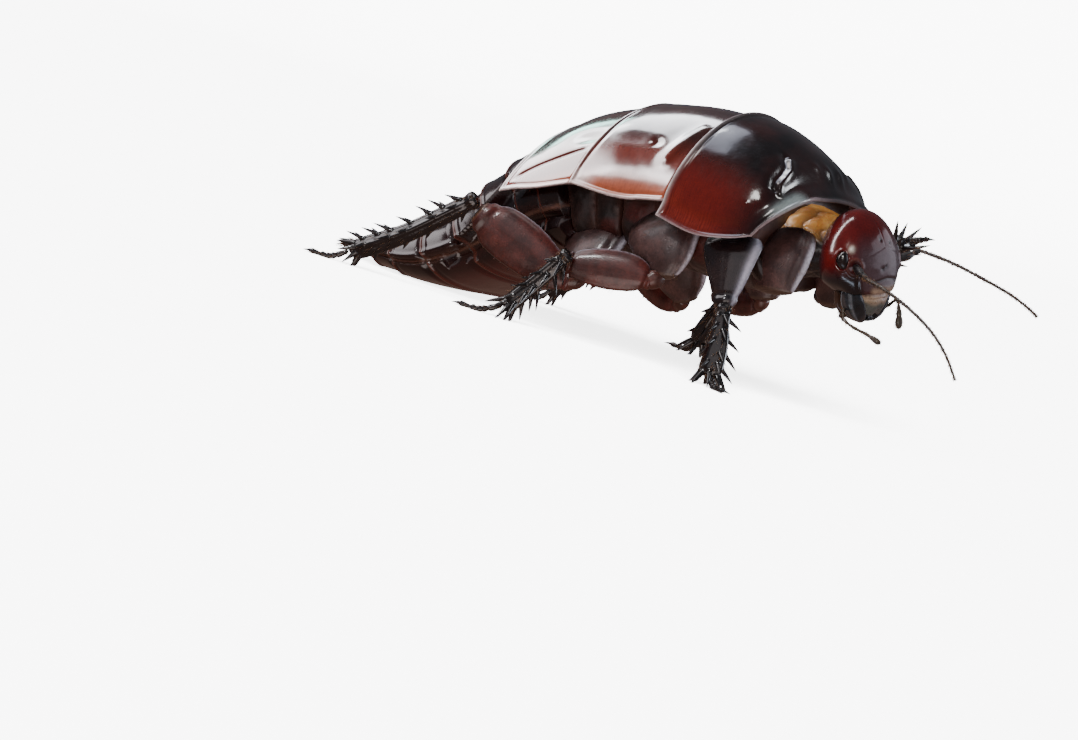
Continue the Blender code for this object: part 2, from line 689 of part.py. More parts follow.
LEGS["mid_left"] = mirrored(LEGS["mid_right"], 3.0, 0.8)
LEGS["hind_left"] = mirrored(LEGS["hind_right"], 2.6, 1.2)
LEGS["fore_left"] = {
    **LEGS["fore_right"],
    "femur": ((13.0, 9.9, 13.4, 1.3, 1.0), (13.4, 11.6, 13.9, 2.1, 1.2), (13.8, 13.6, 14.6, 2.0, 1.2),
              (14.0, 15.2, 15.1, 1.2, 1.0)),
    "femur_broad": (0.6, 0.0, 1.0),
    "tibia": ((14.4, 16.0, 16.0, 1.0, 0.9), (15.3, 15.9, 17.6, 1.1, 1.0), (17.4, 15.2, 20.0, 1.4, 1.1),
              (19.2, 14.4, 22.0, 1.6, 1.1), (19.8, 14.1, 22.6, 1.1, 0.8)),
    "tibia_broad": (0.6, 0.8, 0.0),
    "tarsus": ((20.4, 13.8, 23.0), (21.4, 13.4, 23.3), (22.4, 13.0, 23.5), (23.6, 12.6, 23.9)),
}


def outward(rows, sign):
    return [(row[0], row[1] * sign, *row[2:]) for row in rows]


def add_spines(tibia, rows, broad, counts, rng):
    """Two rows of spines along the shin's back and a crown of spurs round its end."""
    along_count, crown_count, side_length, crown_length = counts
    centres = [Vector(row[:3]) for row in rows]
    heading = (centres[-1] - centres[0]).normalized()
    wide = (broad - heading * broad.dot(heading)).normalized()
    thin = heading.cross(wide)
    pieces = []
    for number in range(along_count):
        for edge in (-1.0, 1.0):
            share = 0.18 + 0.66 * (number + 0.25 * edge + 0.25) / along_count
            row = cubic(rows, share * (len(rows) - 1))
            tilt = math.radians(34.0 + rng.uniform(-8.0, 8.0))
            out = thin * 0.55 * edge + wide
            out = out.normalized() * math.cos(tilt) + heading * math.sin(tilt)
            root = Vector(row[:3]) + (thin * 0.45 * edge * row[4] + wide * 0.75 * row[3])
            pieces.append(spine(root, out, side_length * rng.uniform(0.8, 1.15), 0.34, heading * 0.25))
    for number in range(crown_count):
        angle = 2.0 * math.pi * (number + rng.uniform(0.1, 0.4)) / crown_count
        row = cubic(rows, 0.86 * (len(rows) - 1))
        rim = wide * math.cos(angle) * row[3] + thin * math.sin(angle) * row[4]
        out = heading * 0.8 + rim.normalized() * 0.62
        length = crown_length * rng.uniform(0.75, 1.1)
        pieces.append(spine(Vector(row[:3]) + rim * 0.72, out, length, 0.40, heading * 0.3))
    fuse(tibia, pieces)


def make_tarsus(name, points, tibia):
    """A foot of short joints on the floor, with two claws."""
    rows = []
    for i, place in enumerate(spread(0.0, len(points) - 1.0, 9)):
        thick = 0.50 if i % 2 else 0.38
        rows.append((*cubic(points, place), thick, thick))
    tarsus = limb(name, rows, Vector((0.0, 0.0, 1.0)), 6, 9, "tibia")
    heading = (Vector(points[-1]) - Vector(points[-2])).normalized()
    beside = heading.cross(Vector((0.0, 0.0, 1.0))).normalized()
    claws = []
    for edge in (-1.0, 1.0):
        out = heading * 0.8 + beside * 0.55 * edge
        claws.append(spine(Vector(points[-1]) - heading * 0.15, out, 1.5, 0.26, Vector((0.0, 0.0, -0.25))))
    fuse(tarsus, claws)
    cut_clear(tarsus, [tibia])
    return tarsus


def rest_on_floor(obj):
    """Makes whatever would reach under the floor a flat on it."""
    for vert in obj.data.vertices:
        vert.co.z = max(vert.co.z, 0.0)


def make_leg(name, leg, cores, others):
    rng = random.Random(SEED + sum(ord(letter) for letter in name))
    sign = SIDES[name.split("_")[1]]
    flip = Vector((1.0, sign, 1.0))
    broad = {part: Vector(leg[part + "_broad"]) * flip for part in ("coxa", "femur", "tibia")}
    coxa = limb("coxa_" + name, outward(leg["coxa"], sign), broad["coxa"], 14, 7, "coxa")
    cut_clear(coxa, cores + others)
    femur = limb("femur_" + name, outward(leg["femur"], sign), broad["femur"], 12, 8, "femur")
    cut_clear(femur, [coxa] + cores)
    rows = outward(leg["tibia"], sign)
    tibia = limb("tibia_" + name, rows, broad["tibia"], 8, 8, "tibia")
    add_spines(tibia, rows, broad["tibia"], leg["spines"], rng)
    cut_clear(tibia, [femur])
    tarsus = make_tarsus("tarsus_" + name, outward(leg["tarsus"], sign), tibia)
    for piece in (tibia, tarsus):
        rest_on_floor(piece)
    return [coxa, femur, tibia, tarsus]


def smooth_all(nodes):
    for obj in nodes:
        obj.data.shade_smooth()
        obj.data.set_sharp_from_angle(angle=math.radians(38.0))


def stand_at_origin(nodes):
    """Moves the model sideways so that the origin lies under the middle of its box."""
    xs = [vert.co.x for obj in nodes for vert in obj.data.vertices]
    ys = [vert.co.y for obj in nodes for vert in obj.data.vertices]
    middle = Vector(((min(xs) + max(xs)) / 2.0, (min(ys) + max(ys)) / 2.0, 0.0))
    for obj in nodes:
        for vert in obj.data.vertices:
            vert.co -= middle
    return middle


def main():
    clear_scene()
    plates = make_back_plates()
    cores = make_thorax()
    abdomen = make_abdomen()
    tail = make_tail()
    head = make_head()
    eyes = make_eyes(head)
    feelers = make_antennae(head)
    mouth = make_mouth(head)
    neck = make_neck(head, cores[0])
    nodes = plates + cores + abdomen + tail + [head, neck] + eyes + feelers + mouth
    beside = {"fore": [neck], "mid": [], "hind": abdomen[:2]}
    for name, leg in LEGS.items():
        nodes += make_leg(name, leg, cores, beside[name.split("_")[0]])
    smooth_all(nodes)
    return stand_at_origin(nodes)


main()
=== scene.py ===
"""Looks of the rhinoceros cockroach model: every CAD node gets its finished surface in place.

The forms below are worked out in the design's millimetres, as in the solids, and are moved into the metres of
the frame.
"""

import itertools
import json
import math
import random

import bmesh
import bpy
import numpy as np
from mathutils import Matrix, Quaternion, Vector

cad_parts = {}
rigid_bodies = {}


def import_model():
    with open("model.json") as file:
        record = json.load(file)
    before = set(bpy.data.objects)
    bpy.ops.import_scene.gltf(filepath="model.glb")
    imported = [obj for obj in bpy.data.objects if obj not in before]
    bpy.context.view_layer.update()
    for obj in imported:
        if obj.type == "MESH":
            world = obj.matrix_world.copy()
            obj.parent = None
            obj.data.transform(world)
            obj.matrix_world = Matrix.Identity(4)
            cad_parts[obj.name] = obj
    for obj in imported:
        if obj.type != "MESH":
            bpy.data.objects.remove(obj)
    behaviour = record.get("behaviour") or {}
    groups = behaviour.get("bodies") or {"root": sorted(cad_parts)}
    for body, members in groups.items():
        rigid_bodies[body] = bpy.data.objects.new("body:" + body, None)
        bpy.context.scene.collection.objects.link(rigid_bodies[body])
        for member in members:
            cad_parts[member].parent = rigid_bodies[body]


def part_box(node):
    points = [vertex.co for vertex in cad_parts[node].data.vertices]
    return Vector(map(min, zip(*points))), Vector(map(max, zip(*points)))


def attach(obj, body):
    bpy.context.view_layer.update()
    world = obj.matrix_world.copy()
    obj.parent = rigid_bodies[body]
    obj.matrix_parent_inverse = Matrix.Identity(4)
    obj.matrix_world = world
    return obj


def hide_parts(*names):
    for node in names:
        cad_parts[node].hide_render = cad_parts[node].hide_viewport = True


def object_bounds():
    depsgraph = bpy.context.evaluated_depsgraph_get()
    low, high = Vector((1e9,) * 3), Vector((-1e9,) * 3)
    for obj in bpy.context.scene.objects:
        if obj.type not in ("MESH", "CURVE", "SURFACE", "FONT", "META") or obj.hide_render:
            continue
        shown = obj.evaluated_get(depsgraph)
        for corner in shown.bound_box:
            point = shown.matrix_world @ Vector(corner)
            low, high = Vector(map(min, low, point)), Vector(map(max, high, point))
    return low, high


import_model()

CAD_BOX = [list(corner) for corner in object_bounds()]
MM = 0.001
SEED = 11

# Trunk sections from the front lip to the tail: x and z of the point on the back, backward lean in degrees,
# height above the rim line, depth below it, and half width at the rim line.
STATIONS = (
    (18.4, 24.8, -12.0, 5.0, 4.6, 12.0),
    (16.5, 27.4, -8.0, 7.9, 5.4, 13.4),
    (13.8, 29.8, -3.0, 10.9, 6.0, 14.5),
    (8.1, 31.9, 0.0, 13.6, 6.4, 15.0),
    (3.5, 32.5, 2.0, 13.9, 6.8, 14.8),
    (-2.5, 32.1, 8.0, 13.4, 6.9, 14.6),
    (-6.0, 31.4, 12.0, 13.1, 6.9, 14.7),
    (-10.0, 30.3, 16.0, 12.7, 6.8, 14.9),
    (-17.0, 27.1, 25.0, 11.4, 6.4, 14.9),
    (-24.0, 21.3, 38.0, 9.4, 5.8, 14.2),
    (-29.2, 15.2, 50.0, 7.9, 5.4, 13.2),
    (-33.4, 10.2, 48.0, 6.6, 4.7, 12.4),
    (-37.4, 7.1, 34.0, 5.2, 3.5, 11.5),
    (-41.2, 5.7, 18.0, 3.7, 2.3, 10.0),
    (-44.6, 4.9, 9.0, 2.9, 2.1, 7.7),
    (-47.8, 4.1, 4.0, 2.2, 1.8, 4.4),
)
TOP_POWER = 2.1
BELLY_POWER = 2.7

PLATE_THICK = 1.0
PLATE_STEP = 0.45
CORE_SHARE_TOP = 0.885
CORE_SHARE_SIDE = 0.76
CORE_FRONT = 14.2
CORE_JOINTS = (2.6, -9.6, -19.2)
ABDOMEN_JOINTS = (-19.2, -22.6, -26.0, -29.2, -32.4, -36.0, -39.8, -43.2)
JOINT_GAP = 0.45

BOX_MARGIN = 0.02
SIDES = {"right": -1.0, "left": 1.0}


# Numbers and curves

def smooth_step(value):
    value = np.clip(value, 0.0, 1.0)
    return value * value * (3.0 - 2.0 * value)


def past(value, start, run):
    """0 up to the start, 1 after a run from there, and smooth between."""
    return smooth_step((value - start) / run)


def before(value, end, run):
    """1 down to a run before the end, 0 from the end on, and smooth between."""
    return smooth_step((end - value) / run)


def bell(distance, spread):
    return np.exp(-(distance / spread) ** 2)


def unit(vectors):
    return vectors / np.maximum(np.linalg.norm(vectors, axis=-1, keepdims=True), 1e-9)


def curve(rows, place):
    """Smooth values through rows of numbers, at places given as row number and fraction."""
    rows = np.array(rows, float)
    place = np.asarray(place, float)
    i = np.clip(np.floor(place).astype(int), 0, len(rows) - 2)
    t = (place - i)[..., None]
    earlier, start = rows[np.maximum(i - 1, 0)], rows[i]
    end, later = rows[i + 1], rows[np.minimum(i + 2, len(rows) - 1)]
    t2, t3 = t * t, t * t * t
    held = (2.0 * t3 - 3.0 * t2 + 1.0) * start + (3.0 * t2 - 2.0 * t3) * end
    return held + (t3 - 2.0 * t2 + t) * 0.5 * (end - earlier) + (t3 - t2) * 0.5 * (later - start)


def noise(points, size, seed=0):
    """Smooth noise of about -1 to 1 at points in mm, with features of the given size."""
    place = points / size + seed * 17.31 + 100.0
    cell = np.floor(place).astype(np.int64)
    share = place - cell
    share = share * share * (3.0 - 2.0 * share)
    total = np.zeros(points.shape[:-1])
    for corner in itertools.product((0, 1), repeat=3):
        at = cell + np.array(corner)
        mixed = (at[..., 0] * 73856093) ^ (at[..., 1] * 19349663) ^ (at[..., 2] * 83492791)
        value = ((mixed * 2654435761) % 4294967296) / 2147483648.0 - 1.0
        weight = np.prod(np.where(np.array(corner) == 1, share, 1.0 - share), axis=-1)
        total += value * weight
    return total


STATION_STEP = 0.05
DENSE = np.arange(21.0, -51.0, -STATION_STEP)
STATION_BLUR = 1.3


def dense_stations():
    """The trunk's table at every small step of x, blurred a little so that highlights run on smoothly."""
    rows = np.array(STATIONS)
    xs = rows[:, 0]
    i = np.clip(np.searchsorted(-xs, -DENSE, side="right") - 1, 0, len(xs) - 2)
    place = i + (xs[i] - DENSE) / (xs[i] - xs[i + 1])
    table = curve(rows[:, 1:], np.clip(place, -0.6, len(xs) - 0.6))
    reach = int(3.0 * STATION_BLUR / STATION_STEP)
    weights = bell(np.arange(-reach, reach + 1) * STATION_STEP, STATION_BLUR)
    weights /= weights.sum()
    front = 2.0 * table[:1] - table[reach:0:-1]
    hind = 2.0 * table[-1:] - table[-2:-reach - 2:-1]
    padded = np.concatenate([front, table, hind])
    return np.stack([np.convolve(column, weights, mode="valid") for column in padded.T], axis=1)


TABLE = dense_stations()


def trunk(x, turn, lift=0.0, share=1.0):
    """Points of the trunk. turn runs from 0 on the back over 90 at the left rim to 180 below."""
    x, turn, lift, share = np.broadcast_arrays(*(np.asarray(a, float) for a in (x, turn, lift, share)))
    height, lean, top, belly, half = (np.interp(-x, -DENSE, column) for column in TABLE.T)
    lean = np.radians(lean)
    up = np.stack([-np.sin(lean), np.zeros_like(lean), np.cos(lean)], -1)
    centre = np.stack([x, np.zeros_like(x), height], -1) - up * top[..., None]
    sine, cosine = np.sin(np.radians(turn)), np.cos(np.radians(turn))
    power = np.where(cosine >= 0.0, TOP_POWER, BELLY_POWER)
    tall = np.where(cosine >= 0.0, top, belly)
    side = np.sign(sine) * np.abs(sine) ** (2.0 / power)
    rise = np.sign(cosine) * np.abs(cosine) ** (2.0 / power)
    across = np.sign(sine) * np.abs(sine) ** (2.0 - 2.0 / power) / half
    above = np.sign(cosine) * np.abs(cosine) ** (2.0 - 2.0 / power) / tall
    length = np.hypot(across, above)
    aside = np.array([0.0, 1.0, 0.0])
    offset = aside * (half * side)[..., None] + up * (tall * rise)[..., None]
    normal = aside * (across / length)[..., None] + up * (above / length)[..., None]
    return centre + offset * share[..., None] + normal * lift[..., None]


def frame_shift():
    """Where the design's origin lies in the frame: the middle thorax block is the same in both."""
    low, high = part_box("mesothorax")
    turns = np.arange(24) * 15.0 - 180.0
    hind = CORE_JOINTS[1] + JOINT_GAP / 2.0
    design = trunk(hind, turns, share=core_share(turns))
    return np.array([low[0] / MM - design[:, 0].min(), 0.5 * (low[1] + high[1]) / MM, 0.0])


def core_share(turn):
    """The thorax under the plates is narrower than they are, most at the rims, and whole below."""
    beside = np.sin(np.radians(np.minimum(np.abs(turn), 180.0 - np.abs(turn))))
    top = CORE_SHARE_TOP + (CORE_SHARE_SIDE - CORE_SHARE_TOP) * beside ** 3
    low = 1.0 + (CORE_SHARE_SIDE - 1.0) * beside ** 3
    return np.where(np.abs(turn) <= 90.0, top, low)


SHIFT = frame_shift()


# Meshes

class Heap:
    """Points and faces of many closed shapes, gathered for one mesh, with named masks for its material."""

    def __init__(self):
        self.points, self.faces, self.masks, self.count = [], [], {}, 0

    def add(self, points, faces, **masks):
        points = np.asarray(points, float).reshape(-1, 3)
        self.points.append(points)
        self.faces.append(np.asarray(faces, np.int64) + self.count)
        for name, value in masks.items():
            value = np.broadcast_to(np.asarray(value, float).reshape(-1), (len(points),))
            self.masks.setdefault(name, []).append((self.count, value))
        self.count += len(points)
        return self

    def tube(self, rings, **masks):
        """Rings of points as one closed body, a fan at each end. A mask has a value per ring or per point."""
        rings = np.asarray(rings, float)
        steps, sides = rings.shape[:2]
        points = np.concatenate([rings.reshape(-1, 3), rings[0].mean(0)[None], rings[-1].mean(0)[None]])
        row, side = np.meshgrid(np.arange(steps - 1), np.arange(sides), indexing="ij")
        a, b = row * sides + side, row * sides + (side + 1) % sides
        quads = np.stack([a, b, b + sides, a + sides], -1).reshape(-1, 4)
        ring = np.arange(sides)
        turned = (ring + 1) % sides
        last = (steps - 1) * sides
        first_fan = np.stack([ring, ring, np.full(sides, steps * sides), turned], -1)
        last_fan = np.stack([last + ring, last + ring, last + turned, np.full(sides, steps * sides + 1)], -1)
        spread_masks = {}
        for name, value in masks.items():
            value = np.asarray(value, float)
            value = np.broadcast_to(value[:, None] if value.ndim == 1 else value, (steps, sides))
            spread_masks[name] = np.concatenate([value.reshape(-1), [value[0].mean(), value[-1].mean()]])
        return self.add(points, np.concatenate([quads, first_fan, last_fan]), **spread_masks)

    def mask(self, name):
        values = np.zeros(self.count, np.float32)
        for start, value in self.masks[name]:
            values[start:start + len(value)] = value
        return values

    def object(self, name, material):
        points = np.concatenate(self.points) + SHIFT
        low, high = (np.array(corner) / MM for corner in CAD_BOX)
        points = np.clip(points, low + (BOX_MARGIN, BOX_MARGIN, 0.0), high - BOX_MARGIN)
        faces = np.concatenate(self.faces).tolist()
        mesh = bpy.data.meshes.new(name)
        mesh.from_pydata((points * MM).tolist(), [], [tuple(dict.fromkeys(face)) for face in faces])
        for mask in sorted(set(self.masks) - {"coat_u", "coat_v"}):
            mesh.attributes.new(mask, "FLOAT", "POINT").data.foreach_set("value", self.mask(mask))
        work = bmesh.new()
        work.from_mesh(mesh)
        bmesh.ops.recalc_face_normals(work, faces=work.faces)
        work.to_mesh(mesh)
        work.free()
        if "coat_u" in self.masks:
            corners = np.zeros(len(mesh.loops), np.int32)
            mesh.loops.foreach_get("vertex_index", corners)
            places = np.stack([self.mask("coat_u")[corners], self.mask("coat_v")[corners]], -1)
            mesh.uv_layers.new(name="OFBake").data.foreach_set("uv", places.reshape(-1))
        mesh.shade_smooth()
        mesh.materials.append(material)
        obj = bpy.data.objects.new(name, mesh)
        bpy.context.scene.collection.objects.link(obj)
        return obj


def place(heap, node, form, material, slot):
    """Makes a heap the object that stands for a CAD node. Only the coats stand for none."""
    obj = heap.object(node + "_" + form, material)
    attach(obj, "root")
    if node != "coat":
        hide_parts(node)


def ring_normals(rings):
    """Outward directions at the points of closed rings."""
    round_about = np.roll(rings, -1, axis=1) - np.roll(rings, 1, axis=1)
    normal = unit(np.cross(round_about, np.gradient(rings, axis=0)))
    out = rings - rings.mean(axis=1, keepdims=True)
    return normal * np.sign((normal * out).sum())


def round_angles(sides):
    return 2.0 * math.pi * np.arange(sides) / sides


def spokes(ways, sides, beyond=(0.31, 0.53, 0.79)):
    """Unit vectors round each way, the first of them square to it and to a direction beyond."""
    beside = unit(np.cross(ways, beyond))
    other = np.cross(ways, beside)
    angle = round_angles(sides)[:, None]
    return np.cos(angle) * beside[..., None, :] + np.sin(angle) * other[..., None, :]


def stops(*rows):
    """Rows of a limb, from the place and two half sizes of each."""
    return [(*at, wide, thin) for at, wide, thin in rows]


CAP_ROWS = 6


def limb_rings(rows, broad, sides, steps, form=None, caps=(0.5, 0.5)):
    """Rings of a limb through rows of x, y, z and two half sizes, with domed ends.

    form takes how far along (0 to 1) and the angle round, and gives a height over the plain surface in mm.
    """
    rows = np.array(rows, float)
    share = np.linspace(0.0, 1.0, steps)
    sample = curve(rows, share * (len(rows) - 1))
    centre, wide_half, thin_half = sample[:, :3], sample[:, 3], sample[:, 4]
    ahead = unit(np.gradient(centre, axis=0))
    for end, cap, way in ((0, caps[0], -1.0), (-1, caps[1], 1.0)):
        arc = np.linspace(0.0, math.pi / 2.0, CAP_ROWS + 1)[1:]
        rise = np.sin(arc)[:, None] * cap * min(wide_half[end], thin_half[end])
        small = np.maximum(np.cos(arc), 0.04)
        new = (centre[end] + ahead[end] * way * rise, small * wide_half[end], small * thin_half[end],
               np.repeat(ahead[end][None], len(arc), 0), np.full(len(arc), share[end]))
        old = (centre, wide_half, thin_half, ahead, share)
        if way < 0.0:
            joined = [np.concatenate([n[::-1], o]) for n, o in zip(new, old)]
        else:
            joined = [np.concatenate([o, n]) for n, o in zip(new, old)]
        centre, wide_half, thin_half, ahead, share = joined
    broad = np.array(broad, float)
    wide = unit(broad - ahead * (ahead @ broad)[:, None])
    thin = np.cross(ahead, wide)
    angle = round_angles(sides)
    across = wide[:, None] * np.cos(angle)[None, :, None] * wide_half[:, None, None]
    deep = thin[:, None] * np.sin(angle)[None, :, None] * thin_half[:, None, None]
    rings = centre[:, None] + across + deep
    if form:
        away = across / wide_half[:, None, None] ** 2 + deep / thin_half[:, None, None] ** 2
        rings = rings + unit(away) * form(share[:, None], angle[None, :])[..., None]
    return rings


THORN_SIDES = 7
HAIR_RADIUS = 0.022
HAIR_BEND = np.array([0.0, 0.0, -0.12])
# The coat's unwrap: the size of a hair's patch, and how many tiles for body parts lie side by side.
COAT_PATCH = 0.003
COAT_TILES = 6


def thorn(heap, root, way, length, radius, bend=(0.0, 0.0, 0.0)):
    """A tapered spine with a swollen socket at its root."""
    way = unit(np.array(way, float))
    along = np.array([-0.5 * radius, 0.0, 0.3 * radius, 0.9 * radius, 0.3 * length, 0.55 * length,
                      0.78 * length, 0.93 * length, length])
    wide = np.array([1.5, 1.45, 1.25, 1.0, 0.88, 0.66, 0.40, 0.18, 0.03]) * radius
    middle = np.array(root, float) + way * along[:, None]
    middle = middle + np.array(bend, float) * (np.clip(along, 0.0, None) / length)[:, None] ** 2
    heap.tube(middle[:, None] + spokes(way, THORN_SIDES)[None] * wide[:, None, None])


def hairs(heap, roots, ways, lengths, coat_u, coat_v):
    """Fine tapered hairs of three sides, all at once."""
    ways = unit(ways)
    around = spokes(ways, 3) * HAIR_RADIUS
    points = np.zeros((len(roots), 10, 3))
    for ring, (share, wide) in enumerate(((-0.08, 1.0), (0.35, 0.85), (0.72, 0.5))):
        middle = roots + ways * (share * lengths)[:, None]
        middle = middle + HAIR_BEND * (lengths * share * abs(share))[:, None]
        points[:, 3 * ring:3 * ring + 3] = middle[:, None] + around * wide
    points[:, 9] = roots + ways * lengths[:, None] + HAIR_BEND * lengths[:, None]
    turned = (1, 2, 0)
    faces = [(r + k, r + turned[k], r + turned[k] + 3, r + k + 3) for r in (0, 3) for k in range(3)]
    faces += [(6 + k, 6 + k, 6 + turned[k], 9) for k in range(3)] + [(0, 0, 2, 1)]
    faces = (np.array(faces)[None] + 10 * np.arange(len(roots))[:, None, None]).reshape(-1, 4)
    patch = COAT_PATCH * np.array([0.0, 0.5, 1.0] * 3 + [0.5])
    rise = COAT_PATCH * np.repeat([0.0, 0.35, 0.72, 1.0], (3, 3, 3, 1))
    heap.add(points, faces, coat_u=coat_u[:, None] + patch, coat_v=coat_v[:, None] + rise)


def pelt(heap, rings, tile, rng, count, length, lean, spots):
    """Hairs scattered over rings of points. Each body part has a tile of its own on the coat's unwrap."""
    steps, sides = rings.shape[:2]
    normals = ring_normals(rings)
    ahead = unit(np.gradient(rings.mean(axis=1), axis=0))
    row = rng.integers(2, steps - 2, count)
    side = rng.integers(0, sides, count)
    if spots is not None:
        keep = rng.random(count) < spots(2.0 * math.pi * side / sides)
        row, side = row[keep], side[keep]
    jitter = rng.normal(0.0, 0.16, (len(row), 3))
    ways = normals[row, side] * (1.0 - lean) + ahead[row] * lean + jitter
    lengths = length * rng.uniform(0.6, 1.15, len(row))
    room = 1.0 / COAT_TILES - 2.0 * COAT_PATCH
    coat_u = tile % COAT_TILES / COAT_TILES + room * row / steps
    coat_v = tile // COAT_TILES / COAT_TILES + room * side / sides
    hairs(heap, rings[row, side], ways, lengths, coat_u, coat_v)


# Finishes

CHITIN_IOR = 1.55


class Nodes:
    """A short way to write the nodes of a material or of the world."""

    def __init__(self, name, kind="materials"):
        self.owner = getattr(bpy.data, kind).new(name)
        self.owner.use_nodes = True
        self.tree = self.owner.node_tree
        self.shader = self.tree.nodes.get("Principled BSDF")
        self.where = self.make("ShaderNodeTexCoord").outputs

    def make(self, kind, **values):
        node = self.tree.nodes.new(kind)
        for key, value in values.items():
            setattr(node, key, value)
        return node

    def feed(self, socket, value):
        if isinstance(value, bpy.types.NodeSocket):
            self.tree.links.new(value, socket)
        elif socket.type == "RGBA":
            socket.default_value = (*value, 1.0)
        else:
            socket.default_value = value

    def noise(self, size, detail=3.0, stretch=None):
        """Noise with features of a size in mm."""
        where = self.where["Object"]
        if stretch:
            mapping = self.make("ShaderNodeMapping")
            self.feed(mapping.inputs["Vector"], where)
            self.feed(mapping.inputs["Scale"], stretch)
            where = mapping.outputs["Vector"]
        node = self.make("ShaderNodeTexNoise")
        for key, value in (("Vector", where), ("Scale", 1.0 / (size * MM)), ("Detail", detail)):
            self.feed(node.inputs[key], value)
        return node.outputs["Fac"]

    def cells(self, size):
        node = self.make("ShaderNodeTexVoronoi")
        self.feed(node.inputs["Vector"], self.where["Object"])
        self.feed(node.inputs["Scale"], 1.0 / (size * MM))
        return node.outputs["Distance"]

    def mask(self, name):
        return self.make("ShaderNodeAttribute", attribute_name=name).outputs["Fac"]

    def ramp(self, value, *numbers):
        """The value's range from a low to a high number, drawn over 0 to 1 or over two more numbers."""
        node = self.make("ShaderNodeMapRange")
        for key, number in zip(("Value", "From Min", "From Max", "To Min", "To Max"), (value, *numbers)):
            self.feed(node.inputs[key], number)
        return node.outputs["Result"]

    def larger(self, a, b):
        node = self.make("ShaderNodeMath", operation="MAXIMUM")
        self.feed(node.inputs[0], a)
        self.feed(node.inputs[1], b)
        return node.outputs[0]

    def mix(self, share, a, b):
        node = self.make("ShaderNodeMix", data_type="RGBA")
        sockets = [socket for socket in node.inputs if socket.enabled]
        for socket, value in zip(sockets, (share, a, b)):
            self.feed(socket, value)
        return [socket for socket in node.outputs if socket.enabled][0]

    def two_tone(self, size, detail, dark, light, tints=()):
        """Soft patches of two tones, and a colour for each mask."""
        tone = self.mix(self.ramp(self.noise(size, detail), 0.35, 0.7), dark, light)
        for mask, tint in tints:
            tone = self.mix(self.mask(mask), tone, tint)
        return tone

    def worn(self, size, low, high, detail=3.0):
        """A roughness that varies over places of a size."""
        return self.ramp(self.noise(size, detail), 0.3, 0.7, low, high)

    def bumps(self, *layers):
        """Layers of (height, distance in mm), the first lowest."""
        normal = None
        for height, distance in layers:
            node = self.make("ShaderNodeBump")
            self.feed(node.inputs["Height"], height)
            self.feed(node.inputs["Distance"], distance * MM)
            if normal:
                self.feed(node.inputs["Normal"], normal)
            normal = node.outputs["Normal"]
        self.feed(self.shader.inputs["Normal"], normal)

    def finish(self, colour, roughness, coat=0.0, clear=0.05):
        for key, value in (("Base Color", colour), ("Roughness", roughness), ("IOR", CHITIN_IOR),
                           ("Coat Weight", coat), ("Coat Roughness", clear)):
            self.feed(self.shader.inputs[key], value)
        return self.owner


def chitin(name, dark, warm, tints=(), gloss=(0.10, 0.22), coat=0.4, pits=0.6, grain=1.0, patch=5.0,
           streak=0.0, dull=None, mottle=0.45, clear=0.05):
    """Hard cuticle: two tones in soft patches, a colour for each mask, fine specks, pits and scratches."""
    n = Nodes(name)
    speck = tuple(c * 0.3 for c in dark)
    colour = n.mix(n.ramp(n.noise(patch, 4.0), 0.38, 0.66), dark, warm)
    for mask, tint in tints:
        colour = n.mix(n.mask(mask), colour, tint)
    colour = n.mix(n.ramp(n.noise(0.35, 2.0), 0.35, 0.75, 0.0, mottle), colour, speck)
    if streak:
        lines = n.noise(0.22, 2.0, (1.0, 0.25, 0.25))
        colour = n.mix(n.ramp(lines, 0.45, 0.75, 0.0, streak), colour, speck)
    scratch = n.noise(0.16, 3.0, (0.25, 1.0, 1.0))
    pit = n.ramp(n.cells(0.55), 0.05, 0.28)
    n.bumps((n.noise(1.6), 0.05 * grain), (pit, 0.016 * pits), (scratch, 0.010 * grain))
    rough = n.ramp(n.noise(0.9, 5.0), 0.30, 0.75, *gloss)
    if dull:
        rough = n.larger(rough, n.ramp(n.mask(dull[0]), 0.0, 1.0, 0.0, dull[1]))
    return n.finish(colour, rough, coat, clear)


# Stage, lights and camera. The camera's place and roll follow the photograph of 1078 by 740 pixels.

PHOTO_WIDTH = 1078.0
SENSOR = 36.0
CAMERA_TURN = 33.0
CAMERA_RISE = 5.0
CAMERA_ROLL = 16.5
CAMERA_AWAY = 390.0
CAMERA_AIM = np.array([0.0, -27.54, -3.71])
PIXELS_PER_MM = 8.4
LAMP_AIM = np.array([0.0, 0.0, 18.0])


def direction(turn, rise):
    """A unit vector from a turn (0 is -Y, 90 is +X) and a rise in degrees."""
    turn, rise = math.radians(turn), math.radians(rise)
    return np.array([math.sin(turn) * math.cos(rise), -math.cos(turn) * math.cos(rise), math.sin(rise)])


def add_camera():
    back = direction(CAMERA_TURN, CAMERA_RISE)
    level = np.array([math.cos(math.radians(CAMERA_TURN)), math.sin(math.radians(CAMERA_TURN)), 0.0])
    above = np.cross(back, level)
    roll = math.radians(CAMERA_ROLL)
    right = level * math.cos(roll) + above * math.sin(roll)
    up = above * math.cos(roll) - level * math.sin(roll)
    spot = (CAMERA_AIM + back * CAMERA_AWAY + SHIFT) * MM
    data = bpy.data.cameras.new("camera")
    data.sensor_width = SENSOR
    data.lens = PIXELS_PER_MM * CAMERA_AWAY * SENSOR / PHOTO_WIDTH
    data.clip_start = 0.01
    data.clip_end = 20.0
    camera = bpy.data.objects.new("camera", data)
    bpy.context.scene.collection.objects.link(camera)
    rows = [[right[i], up[i], back[i], spot[i]] for i in range(3)]
    camera.matrix_world = Matrix(rows + [[0.0, 0.0, 0.0, 1.0]])
    bpy.context.scene.camera = camera


